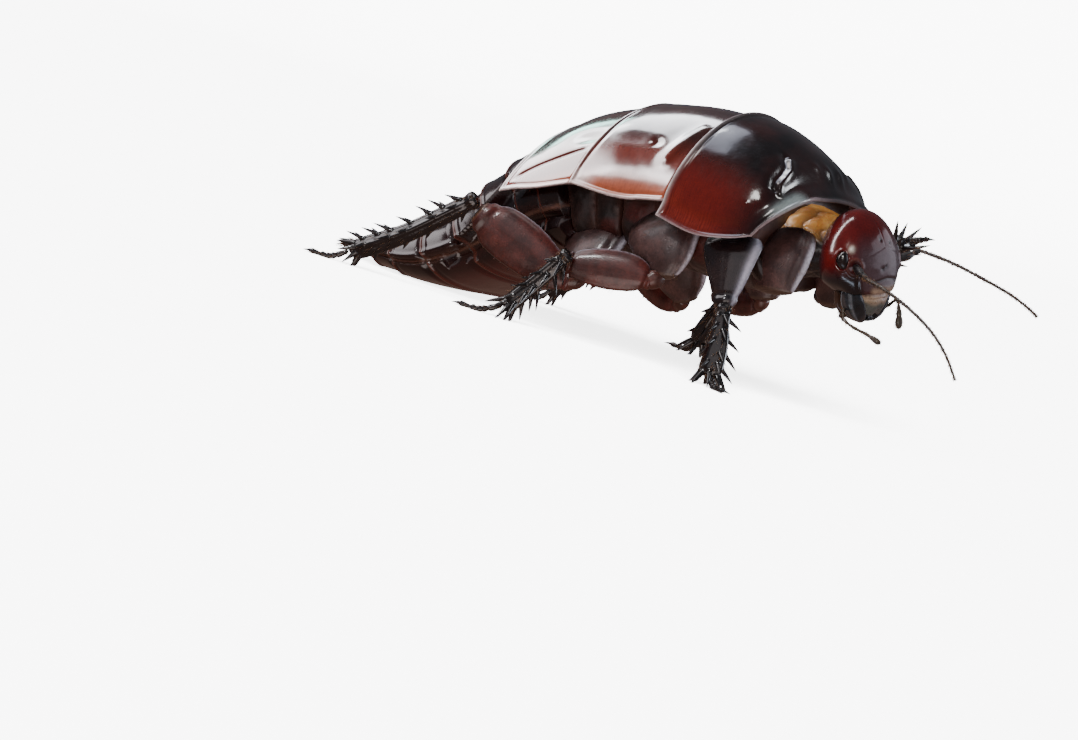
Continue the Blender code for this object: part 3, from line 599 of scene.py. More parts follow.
def add_stage():
    """A floor that bends up to a backdrop. It shines by itself and isn't seen in the model's gloss."""
    size, far, tall, bend = 3.0, 1.3, 2.6, 0.5
    arc = [(far + bend * math.sin(angle), bend * (1.0 - math.cos(angle)))
           for angle in np.linspace(0.0, math.pi / 2.0, 14)]
    backwards = -direction(CAMERA_TURN, 0.0)
    aside = np.array([backwards[1], -backwards[0], 0.0])
    points = [backwards * depth + aside * side + (0.0, 0.0, rise)
              for depth, rise in ((-size, 0.0), *arc, (far + bend, tall)) for side in (-size, size)]
    faces = [(i, i + 1, i + 3, i + 2) for i in range(0, len(points) - 2, 2)]
    mesh = bpy.data.meshes.new("floor")
    mesh.from_pydata([tuple(point) for point in points], [], faces)
    mesh.shade_smooth()
    floor = bpy.data.objects.new("floor", mesh)
    bpy.context.scene.collection.objects.link(floor)
    n = Nodes("stage_paper")
    tone = n.mix(n.noise(40.0), (0.80, 0.80, 0.80), (0.83, 0.83, 0.83))
    n.feed(n.shader.inputs["Emission Color"], (1.0, 1.0, 1.0))
    n.feed(n.shader.inputs["Emission Strength"], 4.0)
    mesh.materials.append(n.finish(tone, 0.85))
    floor.visible_glossy = False
    floor.visible_diffuse = False


WORLD_ABOVE = (0.10, 0.105, 0.12)
WORLD_BELOW = (0.20, 0.125, 0.10)


def add_world():
    """A dim room, bluish above and warm below, as if a table stood near the model."""
    n = Nodes("studio", "worlds")
    parts = n.make("ShaderNodeSeparateXYZ")
    n.feed(parts.inputs["Vector"], n.where["Generated"])
    colour = n.mix(n.ramp(parts.outputs["Z"], -0.35, 0.10), WORLD_BELOW, WORLD_ABOVE)
    n.feed(n.tree.nodes["Background"].inputs["Color"], colour)
    bpy.context.scene.world = n.owner


# Which pieces each group of lamps falls on, by the start of their names.
GROUPS = {
    "floor": ("floor",),
    "hood": ("pronotum",),
    "plates": ("mesonotum", "metanotum"),
    "head": ("head", "eye", "labrum", "mandible", "labium", "maxillary", "neck"),
    "body": ("prothorax", "mesothorax", "metathorax", "abdomen", "supra", "cercus", "coxa", "femur", "tibia",
             "tarsus", "antenna", "coat"),
}
# Lamps: group, turn, rise, width and height in metres, watts and colour, and for some how far away they
# stand in metres and how they tilt.
LAMPS = {
    "window": ("plates", -67.0, 25.5, 0.775, 0.34, 16.7, (1.0, 0.97, 0.98), 0.62, -22.0),
    "upper_pane": ("plates", -103.0, 49.0, 0.42, 0.19, 4.4, (0.93, 0.95, 1.0)),
    "lower_pane": ("plates", -30.5, 21.0, 0.12, 0.12, 0.85, (1.0, 0.95, 0.95)),
    "sea_glow": ("plates", -112.0, 30.0, 0.14, 0.16, 1.2, (0.55, 1.0, 0.90)),
    "hood_sheen": ("hood", -95.0, 62.0, 0.42, 0.20, 1.2, (0.80, 0.84, 1.0)),
    "hood_front": ("hood", 126.0, 47.0, 0.14, 0.22, 2.0, (0.92, 0.96, 1.0), 0.80),
    "hood_hook": ("hood", -112.0, 45.0, 0.07, 0.34, 1.3, (0.92, 0.95, 1.0)),
    "hood_spark": ("hood", 10.0, 46.0, 0.14, 0.18, 1.8, (1.0, 0.98, 0.95)),
    "hood_window": ("hood", -77.0, 28.0, 0.22, 0.45, 3.0, (1.0, 0.92, 0.90)),
    "hood_fill": ("hood", 12.0, -48.0, 0.50, 0.40, 3.1, (1.0, 0.90, 0.86)),
    "head_strip": ("head", -57.0, 33.0, 0.98, 0.055, 4.4, (1.0, 0.95, 0.96), 0.62, -80.0),
    "face_veil": ("head", 125.0, 24.0, 0.84, 0.44, 1.7, (0.90, 0.88, 1.0), 0.60),
    "cheek_line": ("head", 20.0, -50.0, 0.40, 0.05, 0.35, (0.70, 0.82, 1.0)),
    "head_spark": ("head", 6.0, 12.0, 0.10, 0.10, 1.3, (1.0, 0.97, 0.90)),
    "camera_glow": ("body", 12.0, 20.0, 1.30, 0.70, 1.9, (1.0, 0.90, 0.90), 0.90),
    "body_fill": ("body", 30.0, -34.0, 0.50, 0.40, 1.5, (1.0, 0.88, 0.84)),
    "side_light": ("body", -75.0, 38.0, 0.50, 0.50, 2.6, (1.0, 0.94, 0.96), 0.70),
    "front_light": ("body", 128.0, 18.0, 0.60, 0.50, 10.0, (0.84, 0.90, 1.0), 0.80),
    "sparkle": ("body", -20.0, 44.0, 0.08, 0.08, 1.6, (1.0, 1.0, 1.0)),
    "overhead": ("body", 180.0, 82.0, 0.50, 0.40, 1.2, (1.0, 0.98, 0.96), 0.90),
}
# Groups whose lamps, and lamps that, shine past everything but the group itself.
UNSHADED = ("hood", "head", "body_fill")


def lit_pieces(group):
    """The pieces that a group of lamps falls on, as a collection."""
    lit = bpy.data.collections.get("lit " + group)
    if lit is None:
        lit = bpy.data.collections.new("lit " + group)
        for piece in bpy.context.scene.objects:
            if piece.type == "MESH" and piece.name.startswith(GROUPS[group]):
                lit.objects.link(piece)
    return lit


def add_lamp(name, group, turn, rise, width, height, power, colour, away=0.62, tilt=0.0):
    data = bpy.data.lights.new(name, "AREA")
    data.shape = "RECTANGLE"
    data.size, data.size_y, data.energy, data.color = width, height, power, colour
    lamp = bpy.data.objects.new(name, data)
    bpy.context.scene.collection.objects.link(lamp)
    target = Vector((LAMP_AIM + SHIFT) * MM)
    lamp.location = target + Vector(direction(turn, rise)) * away
    facing = (target - lamp.location).to_track_quat("-Z", "Y")
    lamp.rotation_euler = (facing @ Quaternion((0.0, 0.0, 1.0), math.radians(tilt))).to_euler()
    lamp.light_linking.receiver_collection = lit_pieces(group)
    if group in UNSHADED or name in UNSHADED:
        lamp.light_linking.blocker_collection = lit_pieces(group)


def add_lights():
    for name, row in LAMPS.items():
        add_lamp(name, *row)
    data = bpy.data.lights.new("floor_lamp", "SUN")
    data.energy, data.angle = 22.0, math.radians(50.0)
    lamp = bpy.data.objects.new("floor_lamp", data)
    bpy.context.scene.collection.objects.link(lamp)
    lamp.rotation_euler = Vector(direction(CAMERA_TURN, 52.0)).to_track_quat("Z", "Y").to_euler()
    lamp.light_linking.receiver_collection = lit_pieces("floor")


# Back plates

def margin_distances(points):
    """How far each point of a grid lies from its front, hind and side margins, over the surface."""
    down = np.linalg.norm(np.diff(points, axis=0), axis=-1)
    along = np.linalg.norm(np.diff(points, axis=1), axis=-1)
    front = np.concatenate([np.zeros((1, points.shape[1])), np.cumsum(down, 0)])
    hind = front[-1:] - front
    right = np.concatenate([np.zeros((points.shape[0], 1)), np.cumsum(along, 1)], axis=1)
    return front, hind, np.minimum(right, right[:, -1:] - right)


def shell(outer, inner, bulge=0.12, **masks):
    """Closes two grids to a shell with a rounded margin."""
    rows, columns = outer.shape[:2]
    count = rows * columns
    a = (np.arange(rows - 1)[:, None] * columns + np.arange(columns - 1)[None]).reshape(-1)
    quads = np.stack([a, a + 1, a + columns + 1, a + columns], -1)
    border = np.concatenate([
        np.arange(columns), np.arange(1, rows) * columns + columns - 1,
        (rows - 1) * columns + np.arange(columns - 2, -1, -1), np.arange(rows - 2, 0, -1) * columns])
    flat_out, flat_in = outer.reshape(-1, 3), inner.reshape(-1, 3)
    row, column = border // columns, border % columns
    inside = np.clip(row, 1, rows - 2) * columns + np.clip(column, 1, columns - 2)
    away = unit(flat_out[border] - flat_out[inside])
    loops = []
    for share in (0.25, 0.5, 0.75):
        middle = flat_out[border] * (1.0 - share) + flat_in[border] * share
        loops.append(middle + away * bulge * math.sin(math.pi * share))
    edge = len(border)
    ring = np.arange(edge)
    after = (ring + 1) % edge
    starts = [border] + [2 * count + i * edge + ring for i in range(3)] + [count + border]
    faces = [quads, quads[:, ::-1] + count]
    for first, second in zip(starts, starts[1:]):
        faces.append(np.stack([first, second, second[after], first[after]], -1))
    spread_masks = {}
    for name, value in masks.items():
        value = np.broadcast_to(value, (rows, columns)).reshape(-1)
        spread_masks[name] = np.concatenate([value, value] + [value[border]] * 3)
    return Heap().add(np.concatenate([flat_out, flat_in] + loops), np.concatenate(faces), **spread_masks)


TURN_MM = 0.262
PLATE_LAP = 0.9
PLATE_TUCK = 0.75
PLATE_EDGE = 0.28


def margin(middle, sweep, power=2):
    """A margin of a back plate: x for each turn, swept from the middle of the back to the sides."""
    return lambda turn: middle + sweep * np.minimum(np.abs(turn) / 90.0, 1.1) ** power


def under(margin_in_front):
    """The front margin of a plate that begins a little under the one in front."""
    return lambda turn: margin_in_front(turn) + PLATE_LAP


hood_front = margin(18.1, -1.8, 5)
hood_hind = margin(3.6, -2.6)
meso_hind = margin(-9.4, -7.0)
meta_hind = margin(-19.4, -11.2)


def spot(x, turn, at_x, at_turn, long, wide, height):
    """A rounded rise or hollow on both sides of the back."""
    return height * np.exp(-((x - at_x) / long) ** 2 - ((np.abs(turn) - at_turn) * TURN_MM / wide) ** 2)


def fold(x, turn, path, width, height):
    """A rounded ridge along a path of (x, turn), on both sides of the back."""
    points = np.array(path, float) * np.array([1.0, TURN_MM])
    aside = np.abs(turn) * TURN_MM
    away = np.min([to_segment(x, aside, a, b) for a, b in zip(points, points[1:])], axis=0)
    return height * bell(away, width)


def raised_rim(near):
    """A thin raised rim along a margin, with a shallow groove inside it."""
    return 0.13 * bell(near - 0.15, 0.18) - 0.05 * bell(near - 0.6, 0.25)


# Folds of the plates as places (x, turn), and their rises and hollows: x, turn, length, width and height.
HOOD_FOLD = ((13.4, 30.0), (14.7, 36.0), (15.1, 43.0), (15.3, 50.0), (15.9, 56.0))
HOOD_SPOTS = ((14.9, 68.5, 0.75, 1.05, 0.16), (13.2, 74.0, 0.35, 0.35, 0.12), (15.6, 5.0, 0.8, 0.7, 0.30),
              (14.9, 14.0, 0.6, 0.6, 0.16), (12.6, 24.0, 2.2, 2.4, -0.30), (9.0, 82.0, 5.0, 1.6, -0.10))
MESO_FOLD = ((1.6, 42.0), (-1.0, 66.0))
MESO_SPOTS = ((-7.2, 57.0, 3.6, 1.7, -0.16), (-3.7, 57.5, 0.8, 0.7, -0.24), (-4.2, 58.5, 0.40, 0.35, 0.12),
              (-9.0, 24.0, 5.0, 4.0, -0.12))
META_SPOTS = ((-14.4, 54.0, 2.4, 1.5, -0.34), (-19.0, 30.0, 2.0, 2.2, -0.16))


def hood_relief(x, turn, front, hind, side):
    lift = fold(x, turn, HOOD_FOLD, 0.50, 0.34)
    lift += fold(x, turn, np.array(HOOD_FOLD) - (1.15, 0.0), 0.60, -0.34)
    for row in HOOD_SPOTS:
        lift += spot(x, turn, *row)
    near = np.minimum(np.minimum(front, hind), side)
    lift += 0.15 * bell(near - 0.16, 0.20) - 0.06 * bell(near - 0.62, 0.28)
    lift += 0.14 * bell(hind - 0.22, 0.26)
    flare = smooth_step(1.0 - np.minimum(front, side * 1.2 + 1.2) / 3.4) * past(np.abs(turn), 18.0, 20.0)
    return lift + 0.45 * flare - 0.25 * bell(np.minimum(front, side + 1.0) - 2.6, 1.1)


def meso_relief(x, turn, front, hind, side):
    lift = fold(x, turn, MESO_FOLD, 1.05, 0.25) + raised_rim(np.minimum(hind, side))
    for row in MESO_SPOTS:
        lift += spot(x, turn, *row)
    return lift


def meta_relief(x, turn, front, hind, side):
    crease = np.abs(turn) - (66.5 - (x + 20.0) * 0.6 + 0.8 * np.sin((x + 20.0) * 0.6))
    inside = past(x, -25.0, 2.0) * before(x, -13.4, 1.2)
    lift = raised_rim(np.minimum(hind, side)) - 0.28 * inside * bell(crease * TURN_MM, 0.34)
    for row in META_SPOTS:
        lift += spot(x, turn, *row)
    return lift


def make_plate(name, front, hind, reach, rows, columns, relief, masks, material, rough, tuck):
    """A back plate that rises backwards and is tucked in at its front margin.

    reach gives the turn of its sides in front and behind, and how far they bulge between.
    """
    u = np.linspace(0.0, 1.0, rows)[:, None]
    s = np.linspace(-1.0, 1.0, columns)[None]
    turn = s * (reach[0] + (reach[1] - reach[0]) * u + reach[2] * np.sin(math.pi * u))
    x = front(turn) * (1.0 - u) + hind(turn) * u
    plain = trunk(x, turn)
    margins = margin_distances(plain)
    near = np.minimum(np.minimum(margins[0], margins[1]), margins[2])
    uneven = rough * (0.04 * noise(plain, 3.6, 1) + 0.008 * noise(plain, 1.1, 2)) * smooth_step(near / 1.5)
    base = PLATE_STEP * u - tuck * smooth_step(1.0 - margins[0] / 1.4)
    lift = base + relief(x, turn, *margins) + uneven
    below = lift - PLATE_EDGE - (PLATE_THICK - PLATE_EDGE) * smooth_step(near / 3.0)
    heap = shell(trunk(x, turn, lift), trunk(x, turn, np.maximum(below, -PLATE_THICK)),
                 **masks(x, turn, near, margins[1]))
    place(heap, name, "shell", material, "back_plate_chitin")


def hood_masks(x, turn, near, hind):
    aside = np.abs(turn)
    lines = 0.5 + 0.5 * np.sin(x * 17.0 + 3.0 * np.sin(x * 1.7) + 2.0 * np.sin(x * 3.1 + 0.04 * turn))
    band = past(aside, 36.0, 14.0) * before(aside, 80.0, 14.0)
    return {"warm": past(aside, 50.0, 24.0) * before(x, 17.2, 8.6),
            "striae": 0.6 * lines * bell(near - 1.2, 0.9) * past(aside, 70.0, 16.0) * before(x, 12.0, 4.0),
            # flare: a pale green-blue band painted along the flared front margin, a painted reflection.
            "flare": 0.85 * bell(hood_front(turn) - x - 0.55, 0.75) * band,
            # rim and the hind rim mask: pale lines painted along the margins, weaker on top and full on the
            # sides, painted highlights.
            "rim": bell(near, 0.17) * (0.3 + 0.7 * past(aside, 12.0, 26.0)),
            "hind_rim": bell(hind, 0.32) * (0.3 + 0.7 * past(aside, 34.0, 20.0))}


def back_masks(x, turn, near, hind):
    aside = np.abs(turn)
    # corner and rim: a pale patch painted at the lower hind corner and pale lines painted along the hind and
    # side margins, faint on top, painted highlights.
    corner = smooth_step((1.0 - near) / 2.0 + (aside - 76.0) / 8.0)
    corner = corner * smooth_step(1.0 - (hind - 1.0) / 3.0)
    rim = bell(near, 0.2) * (0.25 + 0.75 * past(aside, 40.0, 22.0))
    # rust: the lower sides' own orange-red, made lighter as painted fill light from below.
    return {"warm": past(aside, 48.0, 22.0), "rust": past(aside, 74.0, 10.0),
            "rim": np.maximum(rim, 0.75 * corner)}


def make_back_plates():
    # The rim, hind rim and flare tints are painted highlights and a painted reflection; warm and striae are
    # the hood's own colour.
    tints = (("warm", (0.135, 0.011, 0.007)), ("striae", (0.28, 0.035, 0.020)), ("rim", (0.38, 0.30, 0.32)),
             ("flare", (0.36, 0.42, 0.42)), ("hind_rim", (0.66, 0.58, 0.58)))
    hood_finish = chitin("hood_chitin", (0.006, 0.0035, 0.0035), (0.026, 0.007, 0.006), tints,
                         gloss=(0.15, 0.22), coat=0.2, pits=0.25, grain=0.35, streak=0.22, mottle=0.06,
                         dull=("hind_rim", 0.45))
    # The rim tint is a painted highlight; the rust tint is the lower sides' own red, made lighter as painted
    # fill light from below.
    tints = (("warm", (0.095, 0.011, 0.005)), ("rust", (0.30, 0.073, 0.034)), ("rim", (0.62, 0.51, 0.49)))
    back_finish = chitin("back_chitin", (0.014, 0.004, 0.003), (0.028, 0.007, 0.005), tints,
                         gloss=(0.15, 0.19), coat=0.4, pits=0.04, grain=0.07, streak=0.2, mottle=0.1,
                         clear=0.12, dull=("rim", 0.5))
    make_plate("pronotum", hood_front, hood_hind, (94.0, 94.0, 3.0), 110, 260,
               hood_relief, hood_masks, hood_finish, 1.0, 0.0)
    make_plate("mesonotum", under(hood_hind), meso_hind, (86.0, 85.0, 5.0), 100, 300,
               meso_relief, back_masks, back_finish, 0.8, PLATE_TUCK)
    make_plate("metanotum", under(meso_hind), meta_hind, (85.0, 71.0, 4.5), 84, 300,
               meta_relief, back_masks, back_finish, 0.8, PLATE_TUCK)


# Thorax and abdomen

ROUND = 264
TURNS = (np.arange(ROUND) * 360.0 / ROUND - 180.0)[None]
ASIDE = np.abs(TURNS)


def make_thorax():
    """Three blocks under the plates, their sides folded to upright plates with softer skin between."""
    tints = (("soft", (0.085, 0.036, 0.026)), ("red", (0.095, 0.016, 0.012)))
    material = chitin("side_chitin", (0.016, 0.008, 0.007), (0.040, 0.016, 0.013), tints, gloss=(0.38, 0.55),
                      coat=0.10, patch=2.6, mottle=0.3)
    front = CORE_FRONT
    beside = bell(ASIDE - 108.0, 34.0)
    below = past(ASIDE, 140.0, 16.0)
    for name, joint in zip(("prothorax", "mesothorax", "metathorax"), CORE_JOINTS):
        u = np.linspace(-0.02, 1.09, 84)[:, None]
        x = front + (joint + JOINT_GAP / 2.0 - front) * u
        plates = u + 0.10 * past(ASIDE, 95.0, 50.0) * np.sin(2.0 * math.pi * u)
        groove = np.abs(np.sin(2.0 * math.pi * plates))
        lift = beside * (0.55 * groove ** 0.5 - 0.50)
        lift = lift - below * (0.35 * bell(np.abs(u - 0.5) - 0.46, 0.05) + 0.30 * bell(ASIDE - 180.0, 3.0))
        lift = lift - 0.9 * past(u, 0.985, 0.05) - 0.7 * before(u, 0.0, 0.02)
        share = core_share(TURNS) * np.ones_like(u)
        plain = trunk(x, TURNS, 0.0, share)
        lift = lift + 0.10 * noise(plain, 1.3, 3) * past(ASIDE, 70.0, 20.0) + 0.05 * noise(plain, 0.5, 4)
        red = beside * smooth_step(noise(plain, 2.6, 5) * 2.0)
        soft = beside * bell(groove, 0.45) + 0.6 * (u > 1.0)
        place(Heap().tube(trunk(x, TURNS, lift, share), soft=soft, red=red), name, "block", material,
              "side_plate_chitin")
        front = joint - JOINT_GAP / 2.0


def under_lobe(x, turn):
    """How far the abdomen's side lies in, where the last back plate's lobes cover it."""
    covered = smooth_step((x - meta_hind(turn) + 1.8) / 1.5) * (np.abs(turn) < 120.0)
    return covered * (PLATE_THICK + 0.6)


def make_abdomen():
    """Seven rings. Each hind rim lies over the next ring, and each back half over its belly half."""
    tints = (("rim", (0.11, 0.026, 0.016)), ("soft", (0.12, 0.055, 0.038)), ("red", (0.085, 0.010, 0.008)))
    material = chitin("abdomen_chitin", (0.012, 0.005, 0.005), (0.030, 0.008, 0.007), tints,
                      gloss=(0.15, 0.26), coat=0.3, pits=0.4, grain=0.35, patch=3.4, mottle=0.2, clear=0.08)
    u = np.concatenate([np.linspace(-0.12, 0.86, 40), np.linspace(0.88, 1.0, 9), np.full(5, 1.0)])[:, None]
    tuck = np.concatenate([np.zeros(49), np.linspace(0.15, 1.0, 5)])[:, None]
    rise = -0.75 * smooth_step(1.0 - (u + 0.12) / 0.26) + 0.42 * np.maximum(u, 0.0) ** 1.5
    rise = rise - 0.10 * bell(u - 0.86, 0.05) + 0.10 * bell(u - 0.97, 0.03) - 1.1 * tuck ** 1.3
    edge = 0.30 * bell(ASIDE - 90.0, 3.4) - 0.55 * bell(ASIDE - 98.5, 4.2)
    corner = 1.0 + 0.035 * np.clip(u, 0.0, 1.0) * np.maximum(0.0, 1.0 - np.abs(ASIDE - 90.0) / 20.0)
    for number, (first, last) in enumerate(zip(ABDOMEN_JOINTS, ABDOMEN_JOINTS[1:]), 1):
        front, hind = first - JOINT_GAP / 2.0, last + JOINT_GAP / 2.0
        x = front + (hind - front) * u - 0.12 * np.sin(math.pi * tuck)
        lift = rise + edge * past(u, -0.1, 0.3) * (1.0 - tuck)
        cover = under_lobe(x, TURNS)
        lift = np.where(cover > 0.2, np.minimum(lift, -cover), lift - cover)
        plain = trunk(x, TURNS)
        lift = lift + 0.03 * noise(plain, 2.2, 6) + 0.008 * noise(plain, 0.6, 7)
        rings = trunk(x, TURNS, lift)
        rings[..., 1] *= np.where(cover > 0.2, 1.0, corner)
        heap = Heap().tube(rings, rim=bell(u - 0.97, 0.05) * (1.0 - tuck), soft=bell(ASIDE - 99.0, 4.0),
                           red=past(ASIDE, 120.0, 30.0) * 0.8)
        place(heap, "abdomen_%d" % number, "ring", material, "abdomen_shell")


def make_tail():
    """The supra-anal plate with a toothed margin, and a ringed cercus under each side of it."""
    tints = (("rim", (0.11, 0.026, 0.016)), ("soft", (0.10, 0.05, 0.036)))
    material = chitin("tail_chitin", (0.012, 0.005, 0.005), (0.028, 0.008, 0.007), tints, gloss=(0.16, 0.28),
                      coat=0.3, pits=0.4, grain=0.4, patch=2.0, mottle=0.2, clear=0.08)
    rng = random.Random(SEED)
    rows = ((-42.6, 0.80), (-43.42, 0.955), (-44.8, 0.98), (-46.4, 0.92), (-47.6, 0.74), (-48.05, 0.42),
            (-48.08, 0.06))
    along = curve(rows, np.linspace(0.0, len(rows) - 1.0, 54))
    x, share = along[:, :1], along[:, 1:]
    lift = (0.16 * bell(ASIDE - 88.0, 5.0) - 0.30 * bell(ASIDE - 100.0, 5.0)) * np.clip(share, 0.0, 1.0)
    rings = trunk(x, TURNS, lift + 0.04 * noise(trunk(x, TURNS, 0.0, share), 0.9, 8), share)
    heap = Heap().tube(rings, rim=bell(ASIDE - 88.0, 6.0), soft=bell(ASIDE - 101.0, 5.0))
    for side in SIDES.values():
        for number in range(9):
            at = -44.9 - 3.0 * math.sin(number / 8.0 * math.pi / 2.0)
            wide = float(np.interp(-at, -along[:, 0], along[:, 1]))
            root = trunk(at, 88.0 * side, 0.0, wide * 0.97)
            out = (-0.45 - 0.08 * number, 0.9 * side * (1.0 - number / 10.0), 0.0)
            thorn(heap, root, out, 0.42 * rng.uniform(0.85, 1.1), 0.20)
    place(heap, "supra_anal_plate", "shell", material, "abdomen_shell")

    def ringed(share, angle):
        return 0.07 * np.abs(np.sin(share * math.pi * 8.0)) - 0.05

    for name, side in SIDES.items():
        root = trunk(-44.8, 100.0 * side, -0.6)
        out = unit(np.array([-0.75, 0.62 * side, -0.10]))
        rows = stops(*((root + out * at, wide, wide) for at, wide in
                       ((0.0, 0.75), (1.0, 0.95), (2.2, 0.80), (3.2, 0.45), (3.7, 0.12))))
        rings = limb_rings(rows, (0.0, 0.0, 1.0), 30, 70, ringed)
        place(Heap().tube(rings), "cercus_" + name, "cone", material, "abdomen_shell")
        COAT.append(("tail", rings, 260, 0.9, 0.55, None))


# Head

HEAD_CENTRE = np.array([22.3, 0.0, 18.9])
HEAD_LEAN = 10.6
HEAD_YAW = -12.0
HEAD_ROLL = 14.0
HEAD_DEEP = 4.5
HEAD_WIDE = 5.25
HEAD_TALL = 6.75
HEAD_LOW = -3.5
EYE_TURN = 72.0
EYE_RISE = 1.05
EYE_SIZE = (0.72, 0.80, 1.10)
SOCKET_TURN = 52.0
SOCKET_RISE = 0.2
DEGREE_MM = 0.087
COAT = []


def head_axes():
    """The head's own forward, left and up: it leans back, looks to its right and raises its left side."""
    lean, yaw, roll = math.radians(HEAD_LEAN), math.radians(HEAD_YAW), math.radians(HEAD_ROLL)
    up = np.array([-math.sin(lean), 0.0, math.cos(lean)])
    level = np.array([math.cos(lean), 0.0, math.sin(lean)])
    aside = np.array([0.0, 1.0, 0.0])
    ahead = level * math.cos(yaw) + aside * math.sin(yaw)
    left = aside * math.cos(yaw) - level * math.sin(yaw)
    return ahead, left * math.cos(roll) + up * math.sin(roll), up * math.cos(roll) - left * math.sin(roll)


AHEAD, LEFT, UPWARD = head_axes()


def head_place(forward, leftward, upward):
    parts = zip(np.broadcast_arrays(forward, leftward, upward), (AHEAD, LEFT, UPWARD))
    return HEAD_CENTRE + sum(np.asarray(part, float)[..., None] * axis for part, axis in parts)


def head_surface(turn, rise):
    """A point on the head. turn runs from 0 at the face over 90 at its left side."""
    turn, rise = np.broadcast_arrays(np.asarray(turn, float), np.asarray(rise, float))
    round_off = np.sqrt(np.clip(1.0 - (np.maximum(rise, 0.0) / HEAD_TALL) ** 2, 0.0, 1.0))
    down = np.maximum(-rise, 0.0) / HEAD_TALL
    deep = HEAD_DEEP * round_off * (1.0 - 0.35 * down ** 1.6)
    wide = HEAD_WIDE * round_off * (1.0 - 0.75 * down ** 1.7)
    cosine = np.cos(np.radians(turn))
    ahead = np.sign(cosine) * np.abs(cosine) ** 0.9
    return head_place(deep * ahead, wide * np.sin(np.radians(turn)), rise)


def to_segment(a, b, start, end):
    """Distance of places (a, b) on a surface from a straight mark, in mm."""
    start, end = np.array(start, float), np.array(end, float)
    run = end - start
    share = np.clip(((a - start[0]) * run[0] + (b - start[1]) * run[1]) / (run @ run), 0.0, 1.0)
    return np.hypot(a - start[0] - share * run[0], b - start[1] - share * run[1])


# Small hollows and scars of the head, each darkened in colour as painted shade: turn, rise, size and depth.
HEAD_DIMPLES = ((-6.0, 3.25, 0.30, 0.10), (-8.0, -0.35, 0.30, 0.12), (-2.0, -0.10, 0.28, 0.10),
                (14.0, 2.7, 0.26, 0.08))


def make_head():
    lats = np.radians(np.linspace(0.0, 89.2, 84))
    low = np.linspace(HEAD_LOW, 0.0, 46)[:-1]
    rise = np.concatenate([low, HEAD_TALL * np.sin(lats)])[:, None]
    turn = (np.arange(300) * 1.2 - 180.0)[None]
    plain = head_surface(turn, rise)
    aside = np.abs(turn)
    across = aside * DEGREE_MM
    socket = np.hypot((aside - SOCKET_TURN) * DEGREE_MM, rise - SOCKET_RISE)
    eye = np.hypot((aside - EYE_TURN) * DEGREE_MM / 0.86, (rise - EYE_RISE) / 1.14)
    crown = np.where(rise > 2.4, across, 9.0)
    fork = to_segment(across, rise, (0.0, 2.4), (3.5, 1.1))
    seam = np.maximum(before(rise, 5.9, 1.0) * bell(crown, 0.10), bell(fork, 0.11))
    clypeus = to_segment(across, rise, (0.0, -1.5), (2.6, -1.9))
    cheek = to_segment(across, rise, (4.2, -0.9), (4.6, -3.5))
    ocellus = np.hypot((aside - 57.0) * DEGREE_MM, rise - 2.35)
    lift = 0.20 * bell(socket - 0.95, 0.22) - 0.42 * smooth_step(1.0 - socket / 0.85)
    lift = lift + 0.14 * bell(eye - 1.13, 0.13) - 0.40 * before(eye, 1.02, 0.2)
    lift = lift - 0.07 * seam - 0.13 * bell(clypeus, 0.16) - 0.12 * bell(cheek, 0.2)
    lift = lift + 0.14 * bell(ocellus, 0.40)
    lift = lift + 0.12 * before(rise, -1.8, 0.9) * before(aside, 36.0, 14.0)
    lift = lift - 0.8 * before(rise, -1.3, 2.2) * past(aside, 62.0, 34.0)
    lift = lift - 0.5 * (1.0 - np.sqrt(1.0 - np.clip((-2.9 - rise) / 0.6, 0.0, 1.0) ** 2))
    # dark: darker over the back and low on the sides of the head, and painted shade in the antenna socket,
    # the cheek and clypeus grooves and the dimples.
    dark = np.maximum(bell(socket, 0.55), 0.8 * past(aside, 92.0, 30.0))
    dark = np.maximum(dark, 0.8 * np.maximum(bell(cheek, 0.35), bell(clypeus, 0.2)))
    dark = np.maximum(dark, past(aside, 36.0, 16.0) * before(rise, 0.9, 2.6))
    for at_turn, at_rise, size, depth in HEAD_DIMPLES:
        hollow = bell(np.hypot((turn - at_turn) * DEGREE_MM, rise - at_rise), size)
        lift = lift - depth * hollow
        dark = np.maximum(dark, hollow)
    face = before(aside, 60.0, 24.0)
    lift = lift + 0.03 * noise(plain, 2.2, 9) + face * 0.035 * noise(plain, 0.8, 10) * before(rise, 3.5, 3.0)
    out = unit(plain - (HEAD_CENTRE + UPWARD * (rise * 0.55)[..., None]))
    rings = plain + out * lift[..., None]
    middle = rings[0].mean(0)
    shrink = np.linspace(0.06, 0.96, 14)[:, None, None]
    rings = np.concatenate([middle + (rings[0] - middle) * shrink, rings])

    def whole(mask):
        """A mask with rows added for the rings that close the head below."""
        mask = np.broadcast_to(mask, plain.shape[:2])
        return np.concatenate([np.repeat(mask[:1], len(shrink), 0), mask])

    # A mauve-grey veil painted over the face as a painted sheen; roughness is raised under it as well.
    grey = face * before(rise, 4.6, 3.4) * past(rise, -3.6, 1.0)
    tan = before(rise, -2.2, 0.8) * before(aside, 34.0, 10.0)
    heap = Heap().tube(rings, grey=whole(grey), tan=whole(tan), dark=whole(np.clip(dark, 0.0, 1.0)),
                       ring=whole(bell(socket - 0.95, 0.2)), pale=whole(bell(ocellus, 0.40)))
    # The mauve-grey tint is a painted sheen on the face, and the dark tint carries painted shade in the
    # socket, grooves and dimples.
    tints = (("grey", (0.105, 0.062, 0.072)), ("tan", (0.55, 0.39, 0.27)), ("ring", (0.16, 0.05, 0.04)),
             ("dark", (0.014, 0.013, 0.016)), ("pale", (1.0, 0.93, 0.82)))
    material = chitin("head_chitin", (0.100, 0.007, 0.007), (0.150, 0.011, 0.009), tints, gloss=(0.12, 0.20),
                      coat=0.2, pits=0.3, grain=0.3, patch=3.0, dull=("grey", 0.34), mottle=0.25)
    place(heap, "head", "capsule", material, "head_chitin")


